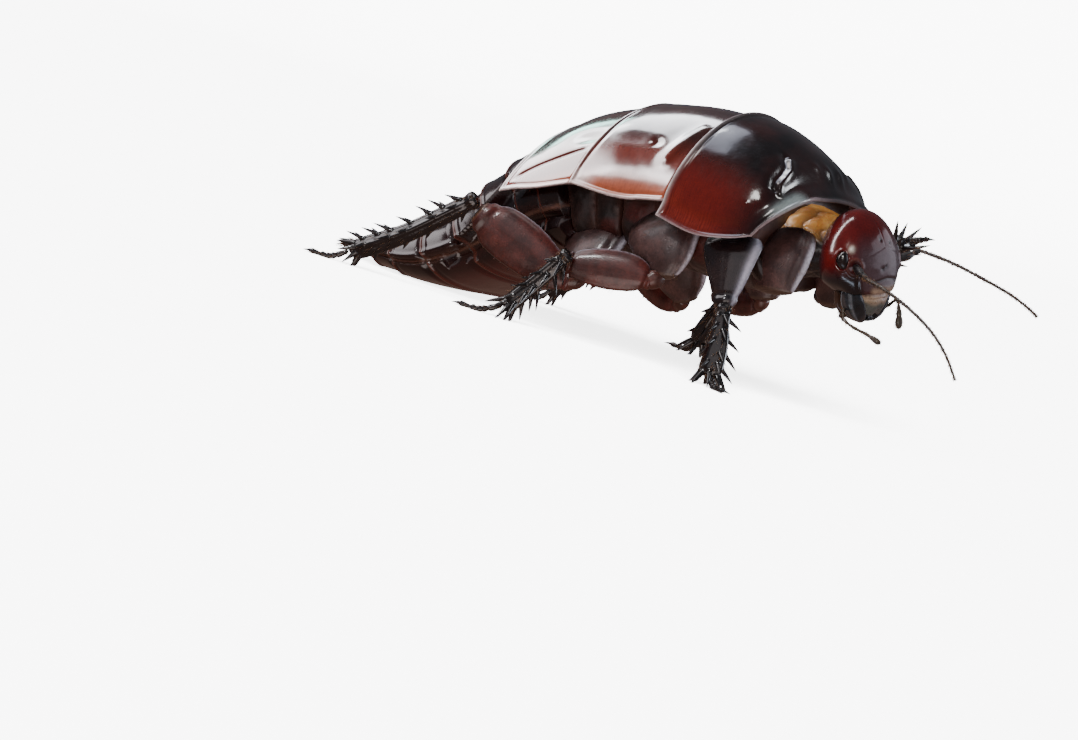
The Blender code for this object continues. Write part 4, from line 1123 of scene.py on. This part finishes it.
def make_eyes():
    n = Nodes("eye_facets")
    tone = n.two_tone(1.2, 3.0, (0.006, 0.005, 0.006), (0.020, 0.011, 0.011))
    n.bumps((n.noise(0.9, 2.0), 0.02), (n.ramp(n.cells(0.11), 0.0, 0.5, 1.0, 0.0), 0.014))
    material = n.finish(tone, n.worn(0.5, 0.10, 0.20), 0.6)
    lat = np.radians(np.linspace(-88.0, 88.0, 46))[:, None]
    around = np.radians(np.arange(72) * 5.0)[None]
    flat = np.cos(lat) ** 0.92
    for name, side in SIDES.items():
        centre = head_surface(EYE_TURN * side, EYE_RISE)
        out = unit(centre - head_place(0.0, 0.0, EYE_RISE))
        beside = unit(np.cross(UPWARD, out))
        tall = EYE_SIZE[2] * flat * np.cos(around)
        wide = EYE_SIZE[1] * flat * np.sin(around) - 0.20 * (np.cos(around) * flat) ** 2 * side
        deep = EYE_SIZE[0] * np.sin(lat) * 0.82 - 0.10
        rings = centre + deep[..., None] * out + tall[..., None] * UPWARD + wide[..., None] * beside
        place(Heap().tube(rings), "eye_" + name, "facets", material, "eye_facets")


# Where the feelers and the palps of the upper jaws pass.
FEELERS = {
    "right": ((26.9, -5.8, 17.6), (30.2, -6.3, 17.0), (34.0, -7.0, 15.9), (37.8, -7.6, 14.3),
              (40.9, -8.1, 12.2), (43.4, -8.5, 9.6)),
    "left": ((27.0, 5.2, 22.5), (31.6, 5.6, 22.2), (36.1, 6.2, 21.4), (39.3, 6.7, 20.7),
             (41.7, 7.1, 19.9), (43.6, 7.4, 19.0)),
}
PALPS = {
    "right": ((22.9, -1.6, 13.4), (24.2, -3.2, 12.1), (26.0, -3.6, 11.5), (28.0, -3.6, 11.2),
              (29.8, -3.5, 10.7)),
    "left": ((25.0, 2.8, 13.8), (25.6, 4.0, 14.9), (26.4, 4.4, 15.9), (27.3, 4.2, 14.5), (27.9, 4.0, 12.9)),
}
# How far along each palp its club begins, and the club's half width.
PALP_CLUB = {"right": (0.70, 0.38), "left": (0.60, 0.50)}
FEELER_RINGS = 46
FEELER_STEM = 0.27
FEELER_TIP = 0.15


def jointed(points, joints, thick, pinch, sides=14, turns=7):
    """Rings of a jointed stalk: thick gives its half width at how far along, pinched in at each joint."""
    share = np.linspace(0.0, 1.0, joints * turns + 1)
    centre = curve(points, share * (len(points) - 1))
    ahead = unit(np.gradient(centre, axis=0))
    phase = (share * joints) % 1.0
    swell = 1.0 - pinch + pinch * np.sin(math.pi * phase) ** 0.45 * (0.86 + 0.28 * phase)
    radius = thick(share) * swell
    return centre[:, None] + spokes(ahead, sides, (0.1, 0.3, 1.0)) * radius[:, None, None], phase


def feeler_width(share):
    return FEELER_STEM + (FEELER_TIP - FEELER_STEM) * share ** 0.8


def make_feelers():
    n = Nodes("feeler_chitin")
    tints = (("joint", (0.022, 0.017, 0.015)), ("dark", (0.007, 0.006, 0.007)))
    tone = n.two_tone(2.0, 3.0, (0.055, 0.045, 0.038), (0.105, 0.085, 0.068), tints)
    n.bumps((n.noise(0.12, 2.0), 0.02))
    material = n.finish(tone, n.worn(0.3, 0.36, 0.55), 0.1)
    for name, side in SIDES.items():
        socket = head_surface(SOCKET_TURN * side, SOCKET_RISE)
        free = np.array(FEELERS[name])
        inside = socket + unit(HEAD_CENTRE - socket) * 0.45
        elbow = socket + (free[0] - socket) * 0.62
        scape = stops((inside, 0.42, 0.42), (0.45 * socket + 0.55 * elbow, 0.56, 0.52), (elbow, 0.40, 0.40))
        scape = limb_rings(scape, UPWARD, 22, 26)
        bulb = stops((elbow, 0.30, 0.30), (0.45 * elbow + 0.55 * free[0], 0.40, 0.38),
                     (free[0], 0.27, 0.27))
        heap = Heap().tube(scape, dark=1.0).tube(limb_rings(bulb, UPWARD, 20, 16), dark=0.9)
        path = np.concatenate([[elbow * 0.15 + free[0] * 0.85], free])
        stalk, phase = jointed(path, FEELER_RINGS, feeler_width, 0.24)
        heap.tube(stalk, joint=bell(phase, 0.16) + bell(phase - 1.0, 0.16))
        place(heap, "antenna_" + name, "rings", material, "feeler_chitin")
        COAT.append(("head", stalk, 900, 0.34, 0.55, None))
        COAT.append(("head", scape, 60, 0.45, 0.5, None))


MOUTH_TOP = HEAD_LOW - 0.1


def mouth_rows(rows, side=1.0):
    """Rows with places given in the head's own directions: forward, outward and up from the mouth's top."""
    rows = np.array(rows, float)
    places = head_place(rows[:, 0], rows[:, 1] * side, rows[:, 2] + MOUTH_TOP)
    return np.concatenate([places, rows[:, 3:]], axis=1)


def make_upper_lip():
    u = np.linspace(-1.0, 1.0, 76)[None]
    v = np.linspace(0.0, 1.0, 56)[:, None]
    length = 2.95 * (1.0 - 0.62 * np.abs(u) ** 3.2) * (1.0 - 0.13 * bell(u, 0.20))
    half = 2.55 * (1.0 - 0.16 * v ** 2.0)
    swell = 0.42 * (1.0 - u ** 2) * np.sin(math.pi * np.clip(v * 0.9 + 0.12, 0.0, 1.0))
    swell = swell + 0.10 * bell(u, 0.16) * v
    ahead = 3.05 - 0.75 * v ** 2 - 0.55 * u ** 2 + swell - 0.12 * bell(v - 0.30, 0.05)
    outer = head_place(ahead, half * u, MOUTH_TOP + 0.35 - v * length)
    inner = head_place(ahead - 0.75 + 0.35 * v, half * u * 0.97, MOUTH_TOP + 0.35 - v * length * 0.97)
    n = Nodes("lip_chitin")
    tone = n.two_tone(1.1, 4.0, (0.44, 0.31, 0.21), (0.62, 0.46, 0.32), (("dark", (0.15, 0.165, 0.15)),))
    tone = n.mix(n.ramp(n.noise(0.25), 0.55, 0.75, 0.0, 0.6), tone, (0.06, 0.04, 0.03))
    n.bumps((n.noise(0.5), 0.05), (n.cells(0.3), 0.012))
    place(shell(outer, inner, 0.08, dark=past(v, 0.38, 0.30)), "labrum", "plate",
          n.finish(tone, n.worn(0.4, 0.22, 0.4), 0.3), "lip_chitin")


def make_mouth():
    """Upper lip, jaws with teeth, lower lip and the palps with their dark clubbed ends."""
    make_upper_lip()
    # The light tint is pale blue-grey streaks painted round the jaws as painted highlights.
    tints = (("brown", (0.075, 0.028, 0.012)), ("light", (0.34, 0.36, 0.40)))
    jaw_finish = chitin("jaw_chitin", (0.012, 0.015, 0.020), (0.032, 0.040, 0.052), tints, gloss=(0.14, 0.3),
                        coat=0.4, patch=1.4)

    def ridged(share, angle):
        return 0.10 * np.sin(angle * 5.0 + share * 3.0) * np.sin(math.pi * np.clip(share, 0.0, 1.0)) ** 0.5

    for name, side in SIDES.items():
        rows = ((0.95, 2.45, 1.2, 1.05, 1.15), (0.95, 2.45, 0.1, 1.45, 1.40), (0.90, 2.2, -1.0, 1.45, 1.42),
                (0.90, 1.65, -2.2, 1.12, 1.12), (0.85, 0.95, -3.1, 0.6, 0.5))
        rings = limb_rings(mouth_rows(rows, side), AHEAD, 48, 46, ridged)
        # light: streaks painted round each jaw, painted highlights.
        heap = Heap().tube(rings, light=0.8 * bell(np.sin(round_angles(48) * 2.5 + 0.4), 0.22)[None])
        for number in range(4):
            root = head_place(1.2, (1.15 - 0.32 * number) * side, MOUTH_TOP - 1.7 - 0.42 * number)
            thorn(heap, root, AHEAD * 0.5 - LEFT * 0.8 * side - UPWARD * 0.5, 0.75, 0.32)
        place(heap, "mandible_" + name, "blade", jaw_finish, "jaw_chitin")

    def split(share, angle):
        slits = bell(np.cos(angle), 0.16) + 0.6 * bell(np.abs(np.cos(angle)) - 0.55, 0.1)
        return -0.35 * past(share, 0.45, 0.4) * slits

    rows = ((-1.7, 0.0, 0.5, 2.6, 0.9), (-1.7, 0.0, -1.2, 2.5, 0.95), (-1.4, 0.0, -2.4, 1.9, 0.75),
            (-1.1, 0.0, -3.0, 1.0, 0.35))
    heap = Heap().tube(limb_rings(mouth_rows(rows), LEFT, 60, 44, split), brown=0.75)
    for side in SIDES.values():
        lobe = ((-0.5, 2.0, 0.2, 0.55, 0.75), (-0.4, 2.1, -1.4, 0.62, 0.85), (-0.2, 1.5, -2.6, 0.42, 0.55),
                (-0.1, 0.9, -3.2, 0.2, 0.25))
        heap.tube(limb_rings(mouth_rows(lobe, side), LEFT, 24, 26), brown=0.9)
        path = mouth_rows(((-1.9, 1.4, -1.9), (-1.7, 1.7, -2.7), (-1.2, 1.6, -3.3)), side)
        rings, phase = jointed(path, 3, lambda s: 0.30 - 0.06 * s, 0.35)
        heap.tube(rings, brown=0.5)
        COAT.append(("head", rings, 60, 0.45, 0.5, None))
    place(heap, "labium", "lobes", jaw_finish, "jaw_chitin")

    # The palps keep the plain material that their slot has in the solids.
    palp_finish = bpy.data.materials["feeler_chitin"]
    for name, path in PALPS.items():
        path = np.array(path)
        path[-1] += unit(path[-1] - path[-2]) * 0.30
        start, half = PALP_CLUB[name]

        def clubbed(share):
            club = np.clip((share - start) / (1.0 - start), 0.0, 1.0)
            closed = np.sqrt(np.clip(1.0 - np.clip((club - 0.62) / 0.39, 0.0, 1.0) ** 2, 0.0, 1.0))
            return (0.20 + (half - 0.20) * smooth_step(club / 0.75)) * closed + 0.004

        rings, phase = jointed(path, 5, clubbed, 0.26, 20, 16)
        share = np.linspace(0.0, 1.0, len(rings))
        heap = Heap().tube(rings, dark=past(share, start, 0.08) + 0.25,
                           joint=0.7 * (bell(phase, 0.08) + bell(phase - 1.0, 0.08)))
        place(heap, "maxillary_palp_" + name, "joints", palp_finish, "feeler_chitin")
        COAT.append(("head", rings, 160, 0.42, 0.5, None))


NECK_SIDES = 200
NECK_STEPS = 100


def neck_wave(share, angle):
    return share * 3.4 + 0.42 * np.sin(angle * 3.0 + 0.6) + 0.20 * np.sin(angle * 7.0 + 1.0)


def neck_folds(share, angle):
    crease = 0.30 * np.abs(np.sin(math.pi * neck_wave(share, angle))) ** 0.8 - 0.2
    return crease + 0.05 * np.sin(angle * 17.0 + share * 9.0)


def make_neck():
    rows = [(12.6, 0.0, 19.5, 5.9, 4.5), (15.2, 0.0, 19.8, 5.7, 4.4), (17.2, 0.0, 19.8, 4.6, 4.0),
            (20.0, 0.0, 19.3, 3.9, 3.4)]
    rings = limb_rings(rows, (0.0, 1.0, 0.0), NECK_SIDES, NECK_STEPS, neck_folds)
    share = np.concatenate([np.zeros(CAP_ROWS), np.linspace(0.0, 1.0, NECK_STEPS), np.ones(CAP_ROWS)])
    wave = neck_wave(share[:, None], round_angles(NECK_SIDES)[None])
    # fold darkens the creases between the neck's folds, painted shade; shade darkens its lower part.
    heap = Heap().tube(rings, fold=0.6 * bell(np.sin(math.pi * wave), 0.30),
                       brown=smooth_step(0.75 * noise(rings, 2.2, 11)),
                       shade=before(rings[..., 2], 22.0, 2.4))
    n = Nodes("neck_membrane")
    # The fold tint is painted shade in the creases.
    tints = (("brown", (0.20, 0.07, 0.02)), ("fold", (0.13, 0.05, 0.02)), ("shade", (0.012, 0.008, 0.008)))
    tone = n.two_tone(1.6, 4.0, (0.54, 0.22, 0.036), (0.72, 0.40, 0.12), tints)
    n.bumps((n.noise(0.6, 4.0), 0.10), (n.noise(0.15), 0.02))
    for key, value in (("Weight", 0.25), ("Radius", (0.0012, 0.0006, 0.0003)), ("Scale", 1.0)):
        n.feed(n.shader.inputs["Subsurface " + key], value)
    place(heap, "neck", "folds", n.finish(tone, n.worn(0.4, 0.28, 0.45), 0.25), "neck_membrane")


# Legs: rows of x, y, z (y outward from the midline) and two half sizes for the coxa, femur and tibia, with
# the broad direction of each, then the points of the foot, and for the spines the number of pairs along the
# shin, the number round its end, and the length of each kind.
LEGS = {
    "fore_right": {
        "coxa": ((15.2, 5.4, 19.4, 3.0, 1.8), (16.1, 7.2, 17.6, 3.5, 2.0), (16.2, 8.0, 15.4, 3.4, 1.8),
                 (16.5, 8.4, 13.1, 2.8, 1.2)),
        "coxa_broad": (1.0, 0.0, 0.25),
        "femur": ((10.4, 9.8, 18.0, 2.9, 1.2), (11.1, 11.2, 16.2, 3.7, 1.6), (12.3, 12.2, 12.8, 2.5, 1.4),
                  (13.3, 12.9, 9.6, 1.2, 1.0)),
        "femur_broad": (1.0, 0.0, 0.0),
        "tibia": ((13.7, 13.5, 9.5, 1.0, 0.9), (14.3, 14.0, 7.4, 1.1, 1.0), (15.0, 14.6, 4.6, 1.5, 1.1),
                  (15.3, 15.1, 2.2, 1.7, 1.1), (15.3, 15.2, 1.4, 1.2, 0.8)),
        "tibia_broad": (1.0, 0.2, 0.0),
        "tarsus": ((15.8, 15.7, 1.5), (16.7, 16.4, 0.8), (17.7, 17.2, 0.30), (19.2, 18.0, 0.32)),
        "spines": (3, 5, 2.0, 2.8),
    },
    "mid_right": {
        "coxa": ((-0.4, 9.0, 17.6, 4.6, 1.6), (1.4, 11.2, 15.8, 4.9, 1.9), (3.0, 12.4, 13.2, 3.8, 1.7),
                 (3.6, 12.8, 10.8, 2.0, 1.1)),
        "coxa_broad": (1.0, 0.0, 0.4),
        "femur": ((2.9, 13.8, 9.6, 1.1, 0.9), (0.8, 14.7, 9.8, 2.2, 1.2), (-2.6, 15.9, 9.3, 2.4, 1.35),
                  (-5.6, 17.1, 8.9, 1.8, 1.15), (-7.0, 17.9, 9.0, 1.0, 0.9)),
        "femur_broad": (0.0, 0.0, 1.0),
        "tibia": ((-6.2, 19.2, 9.9, 0.95, 0.9), (-7.4, 19.5, 8.0, 1.0, 0.95), (-9.4, 20.0, 5.0, 1.15, 1.0),
                  (-11.0, 20.5, 2.6, 1.3, 1.05), (-11.6, 20.7, 1.7, 1.0, 0.8)),
        "tibia_broad": (1.0, 0.0, 0.6),
        "tarsus": ((-12.2, 21.1, 1.5), (-13.4, 21.7, 0.8), (-14.7, 22.2, 0.30), (-16.8, 22.8, 0.32)),
        "spines": (4, 6, 2.2, 3.0),
    },
    "hind_right": {
        "coxa": ((-9.4, 7.6, 13.8, 4.4, 1.7), (-8.8, 9.8, 11.6, 4.4, 2.0), (-8.0, 11.6, 9.0, 3.2, 1.7),
                 (-7.4, 12.4, 7.4, 1.8, 1.1)),
        "coxa_broad": (1.0, 0.0, 0.4),
        "femur": ((-8.6, 13.4, 6.4, 1.3, 0.9), (-11.4, 14.3, 7.1, 2.5, 1.2), (-15.2, 15.6, 8.7, 3.2, 1.5),
                  (-18.8, 17.0, 10.1, 3.0, 1.4), (-21.0, 18.2, 11.3, 1.6, 1.0)),
        "femur_broad": (0.0, 0.0, 1.0),
        "tibia": ((-21.6, 19.3, 12.8, 1.0, 0.9), (-24.4, 19.6, 10.4, 1.05, 0.95),
                  (-29.6, 20.1, 6.2, 1.1, 1.0), (-34.8, 20.6, 2.9, 1.25, 1.05), (-36.4, 20.8, 2.0, 1.0, 0.8)),
        "tibia_broad": (0.4, 0.0, 1.0),
        "tarsus": ((-37.1, 21.0, 1.6), (-38.2, 21.4, 0.8), (-39.5, 21.8, 0.30), (-41.4, 22.4, 0.32)),
        "spines": (6, 5, 2.2, 2.6),
    },
}


def mirrored(leg, shift, turned):
    """The leg of the other side, with its foot shifted along x and its knee by part of that."""
    other = dict(leg)
    other["femur"] = tuple((r[0] + shift * 0.35 * i / 4.0, *r[1:]) for i, r in enumerate(leg["femur"]))
    other["tibia"] = tuple((r[0] + shift * (0.35 + 0.65 * i / 4.0), r[1] + turned * i / 4.0, *r[2:])
                           for i, r in enumerate(leg["tibia"]))
    other["tarsus"] = tuple((p[0] + shift, p[1] + turned, p[2]) for p in leg["tarsus"])
    return other


LEGS["mid_left"] = mirrored(LEGS["mid_right"], 3.0, 0.8)
LEGS["hind_left"] = mirrored(LEGS["hind_right"], 2.6, 1.2)
LEGS["fore_left"] = {
    **LEGS["fore_right"],
    "femur": ((13.0, 9.9, 13.4, 1.3, 1.0), (13.4, 11.6, 13.9, 2.1, 1.2), (13.8, 13.6, 14.6, 2.0, 1.2),
              (14.0, 15.2, 15.1, 1.2, 1.0)),
    "femur_broad": (0.6, 0.0, 1.0),
    "tibia": ((14.4, 16.0, 16.0, 1.0, 0.9), (15.3, 15.9, 17.6, 1.1, 1.0), (17.4, 15.2, 20.0, 1.4, 1.1),
              (19.2, 14.4, 22.0, 1.6, 1.1), (19.8, 14.1, 22.6, 1.1, 0.8)),
    "tibia_broad": (0.6, 0.8, 0.0),
    "tarsus": ((20.4, 13.8, 23.0), (21.4, 13.4, 23.3), (22.4, 13.0, 23.5), (23.6, 12.6, 23.9)),
}

# Rows of spines round the shin: angle from its broad edge, share of the count, share of the length.
SPINE_ROWS = ((-30.0, 1.0, 1.0), (30.0, 1.0, 1.0), (-84.0, 0.7, 0.72), (84.0, 0.7, 0.72), (170.0, 0.6, 0.5))


def outward(rows, side):
    return np.array([(row[0], row[1] * side, *row[2:]) for row in rows], float)


def keel(angle):
    """A rounded edge along the broad side of a limb, where its turn is 0."""
    return bell((angle + math.pi) % (2.0 * math.pi) - math.pi, 0.17)


def belly(angle, aside, wide):
    """1 along the line at half a turn round a limb, or along the two lines at an angle aside from it."""
    return bell(np.abs(angle - math.pi) - aside, wide)


def coxa_form(share, angle):
    edge = 0.34 * keel(angle) + 0.14 * belly(angle, 0.0, 0.16)
    furrow = 0.16 * belly(angle, 2.5, 0.14) + 0.12 * bell(angle - 4.4 + 0.5 * share, 0.12)
    return (edge - furrow) * np.sin(math.pi * np.clip(share * 0.85 + 0.1, 0.0, 1.0)) ** 0.6


def femur_form(share, angle):
    round_about = 0.24 * keel(angle) - 0.20 * belly(angle, 0.0, 0.30) + 0.10 * belly(angle, 0.55, 0.16)
    round_about = round_about - 0.05 * belly(angle, math.pi / 2.0, 0.2)
    ends = 0.16 * bell(share - 0.93, 0.04) - 0.10 * bell(share - 0.86, 0.03)
    ends = ends - 0.22 * bell(share - 0.07, 0.035)
    return round_about * np.sin(math.pi * np.clip(share, 0.02, 0.98)) ** 0.5 + ends


def tibia_form(share, angle):
    ridges = 0.10 * np.cos(4.0 * angle) + 0.05 * np.cos(8.0 * angle)
    ends = 0.10 * bell(share - 0.04, 0.03) - 0.12 * bell(share - 0.11, 0.03)
    ends = ends + 0.12 * bell(share - 0.95, 0.04)
    return ridges * np.sin(math.pi * np.clip(share, 0.03, 0.97)) ** 0.4 + ends


CROWN_EXTRA = 3


def add_spines(heap, rows, broad, counts, rng):
    """Rows of spines along the shin and a crown of spurs round its end."""
    along_count, crown_count, side_length, crown_length = counts
    heading = unit(rows[-1, :3] - rows[0, :3])
    wide = unit(broad - heading * (broad @ heading))
    thin = np.cross(heading, wide)

    def rim(share, angle):
        """The middle of the shin at how far along, and the way from there to its surface."""
        row = curve(rows, share * (len(rows) - 1))
        return row[:3], wide * math.cos(angle) * row[3] + thin * math.sin(angle) * row[4]

    for angle, share_of_count, share_of_length in SPINE_ROWS:
        angle = math.radians(angle)
        number = max(2, round((along_count + 1) * share_of_count))
        for k in range(number):
            middle, out = rim(0.14 + 0.68 * (k + rng.uniform(0.1, 0.6)) / number, angle)
            tilt = math.radians(34.0 + rng.uniform(-9.0, 9.0))
            away = unit(wide * math.cos(angle) + thin * math.sin(angle))
            way = away * math.cos(tilt) + heading * math.sin(tilt)
            length = side_length * share_of_length * rng.uniform(0.8, 1.12)
            thorn(heap, middle + out * 0.86, way, length, 0.30, heading * 0.25)
    crown_count += CROWN_EXTRA
    for k in range(crown_count):
        middle, out = rim(0.88, 2.0 * math.pi * (k + rng.uniform(0.1, 0.4)) / crown_count)
        length = crown_length * rng.uniform(0.7, 1.05)
        thorn(heap, middle + out * 0.80, heading * 0.8 + unit(out) * 0.62, length, 0.34, heading * 0.3)


def make_foot(heap, points):
    """Five joints with pads, and two curved claws with a pad between them. Gives back the joints' rings."""
    points = np.array(points, float)
    ends = np.array([0.0, 0.30, 0.47, 0.62, 0.76, 1.0]) * (len(points) - 1)
    rings = []
    for first, last in zip(ends, ends[1:]):
        thick = (0.22, 0.30, 0.36, 0.42) if last < ends[-1] else (0.20, 0.26, 0.32, 0.36)
        middle = curve(points, np.linspace(first, last, 4))
        rows = stops(*((at, half * 1.08, half) for at, half in zip(middle, thick)))
        rings.append(limb_rings(rows, (0.3, 0.95, 0.0), 20, 14, caps=(0.5, 0.7)))
        heap.tube(rings[-1])
    heading = unit(points[-1] - points[-2])
    beside = unit(np.cross(heading, [0.0, 0.0, 1.0]))
    bend = np.abs(np.cross(beside, heading)) * -0.27
    for edge in (-1.0, 1.0):
        way = heading * 0.85 + beside * 0.5 * edge + (0.0, 0.0, 0.12)
        thorn(heap, points[-1] + beside * 0.12 * edge, way, 1.25, 0.19, bend)
    pad = stops(*((points[-1] + heading * at, half, half * 0.7)
                  for at, half in ((0.0, 0.2), (0.35, 0.3), (0.6, 0.2))))
    heap.tube(limb_rings(pad, beside, 16, 10))
    return rings


LEG_SIDES = 96


def make_legs():
    # The edge tints are pale blue-white bands painted along the front edges of the coxae and femora as
    # painted highlights.
    tints = (("edge", (0.60, 0.58, 0.66)), ("soft", (0.09, 0.050, 0.036)))
    base_finish = chitin("leg_base_chitin", (0.044, 0.021, 0.020), (0.125, 0.060, 0.054), tints,
                         gloss=(0.34, 0.46), coat=0.16, pits=1.1, patch=2.6, mottle=0.4)
    tints = (("edge", (0.62, 0.60, 0.70)), ("soft", (0.17, 0.09, 0.050)))
    thigh_finish = chitin("thigh_chitin", (0.050, 0.011, 0.009), (0.135, 0.030, 0.023), tints,
                          gloss=(0.30, 0.42), coat=0.20, pits=0.9, grain=0.9, patch=2.4, mottle=0.35)
    fore_finish = chitin("fore_thigh_chitin", (0.010, 0.008, 0.011), (0.030, 0.017, 0.016), tints,
                         gloss=(0.15, 0.24), coat=0.25, pits=0.35, grain=0.4, patch=3.0, mottle=0.2,
                         clear=0.08)
    shin_finish = chitin("shin_chitin", (0.008, 0.007, 0.008), (0.018, 0.013, 0.013), gloss=(0.10, 0.24),
                         coat=0.5, patch=1.5)
    turned = (round_angles(LEG_SIDES)[None] + math.pi) % (2.0 * math.pi) - math.pi
    for name, leg in LEGS.items():
        rng = random.Random(SEED + sum(ord(letter) for letter in name))
        side = SIDES[name.split("_")[1]]
        fore = name.startswith("fore")
        coxa, femur, tibia = (outward(leg[part], side) for part in ("coxa", "femur", "tibia"))
        coxa_broad, femur_broad, tibia_broad = (np.array(leg[part + "_broad"]) * (1.0, side, 1.0)
                                                for part in ("coxa", "femur", "tibia"))
        rings = limb_rings(coxa, coxa_broad, LEG_SIDES, 90, coxa_form)
        share = np.linspace(0.0, 1.0, len(rings))[:, None]
        # edge: a pale band painted along the coxa's front edge, a painted highlight.
        edge = bell(turned - 0.10, 0.16)
        heap = Heap().tube(rings, edge=edge * past(share, 0.1, 0.2), soft=past(share, 0.90, 0.06))
        place(heap, "coxa_" + name, "base", base_finish, "leg_base_chitin")
        COAT.append(("legs_" + name, rings, 220, 0.6, 0.6,
                     lambda angle: 0.15 + 0.85 * belly(angle, math.pi, 0.5)))

        hip, knee = coxa[-1, :3], femur[0, :3]
        link = stops((0.8 * hip + 0.2 * knee, 1.0, 0.95), (0.4 * hip + 0.6 * knee, 1.2, 1.05),
                     (knee * 0.94 + femur[1, :3] * 0.06, 1.05, 0.9))
        heap = Heap().tube(limb_rings(link, femur_broad, 40, 22), soft=0.15)
        rings = limb_rings(femur, femur_broad, LEG_SIDES, 90, femur_form)
        # On the fore femora the painted highlight band is wider and lies a little off the keel.
        edge = bell(turned - 0.30, 0.27) if fore else edge
        heap.tube(rings, edge=edge * np.sin(math.pi * share) ** 0.5, soft=past(share, 0.93, 0.04))
        down = -unit(femur_broad)
        for k in range(0 if name == "fore_right" else 3):
            row = curve(femur, (0.55 + 0.13 * k) * (len(femur) - 1))
            way = down + unit(femur[-1, :3] - femur[0, :3]) * 0.5
            thorn(heap, row[:3] + down * row[3] * 0.9, way, 0.8, 0.2)
        place(heap, "femur_" + name, "thigh", fore_finish if fore else thigh_finish, "thigh_chitin")
        COAT.append(("legs_" + name, rings, 260, 0.55, 0.6,
                     lambda angle: 0.12 + 0.88 * belly(angle, 0.0, 0.45)))

        rings = limb_rings(tibia, tibia_broad, 48, 70, tibia_form)
        heap = Heap().tube(rings)
        add_spines(heap, tibia, tibia_broad, leg["spines"], rng)
        place(heap, "tibia_" + name, "shin", shin_finish, "shin_chitin")
        COAT.append(("legs_" + name, rings, 260, 0.7, 0.62, None))

        heap = Heap()
        for joint in make_foot(heap, outward(leg["tarsus"], side)):
            COAT.append(("legs_" + name, joint, 26, 0.45, 0.6, None))
        place(heap, "tarsus_" + name, "foot", shin_finish, "shin_chitin")


def make_coat():
    """Fine golden hairs on legs, feelers, mouth and tail, one coat for each group of parts."""
    n = Nodes("hair")
    tone = n.two_tone(1.5, 3.0, (0.10, 0.045, 0.020), (0.26, 0.13, 0.055))
    material = n.finish(tone, n.worn(0.3, 0.30, 0.5, 2.0))
    rng = np.random.default_rng(SEED)
    slots = {"tail": "abdomen_shell", "head": "feeler_chitin"}
    for group in sorted({entry[0] for entry in COAT}):
        heap = Heap()
        for tile, entry in enumerate(entry for entry in COAT if entry[0] == group):
            _, rings, count, length, lean, spots = entry
            pelt(heap, rings, tile, rng, count, length, lean, spots)
        place(heap, "coat", group, material, slots.get(group, "shin_chitin"))


def main():
    add_camera()
    add_stage()
    add_world()
    make_back_plates()
    make_thorax()
    make_abdomen()
    make_tail()
    make_head()
    make_eyes()
    make_feelers()
    make_mouth()
    make_neck()
    make_legs()
    make_coat()
    add_lights()


main()
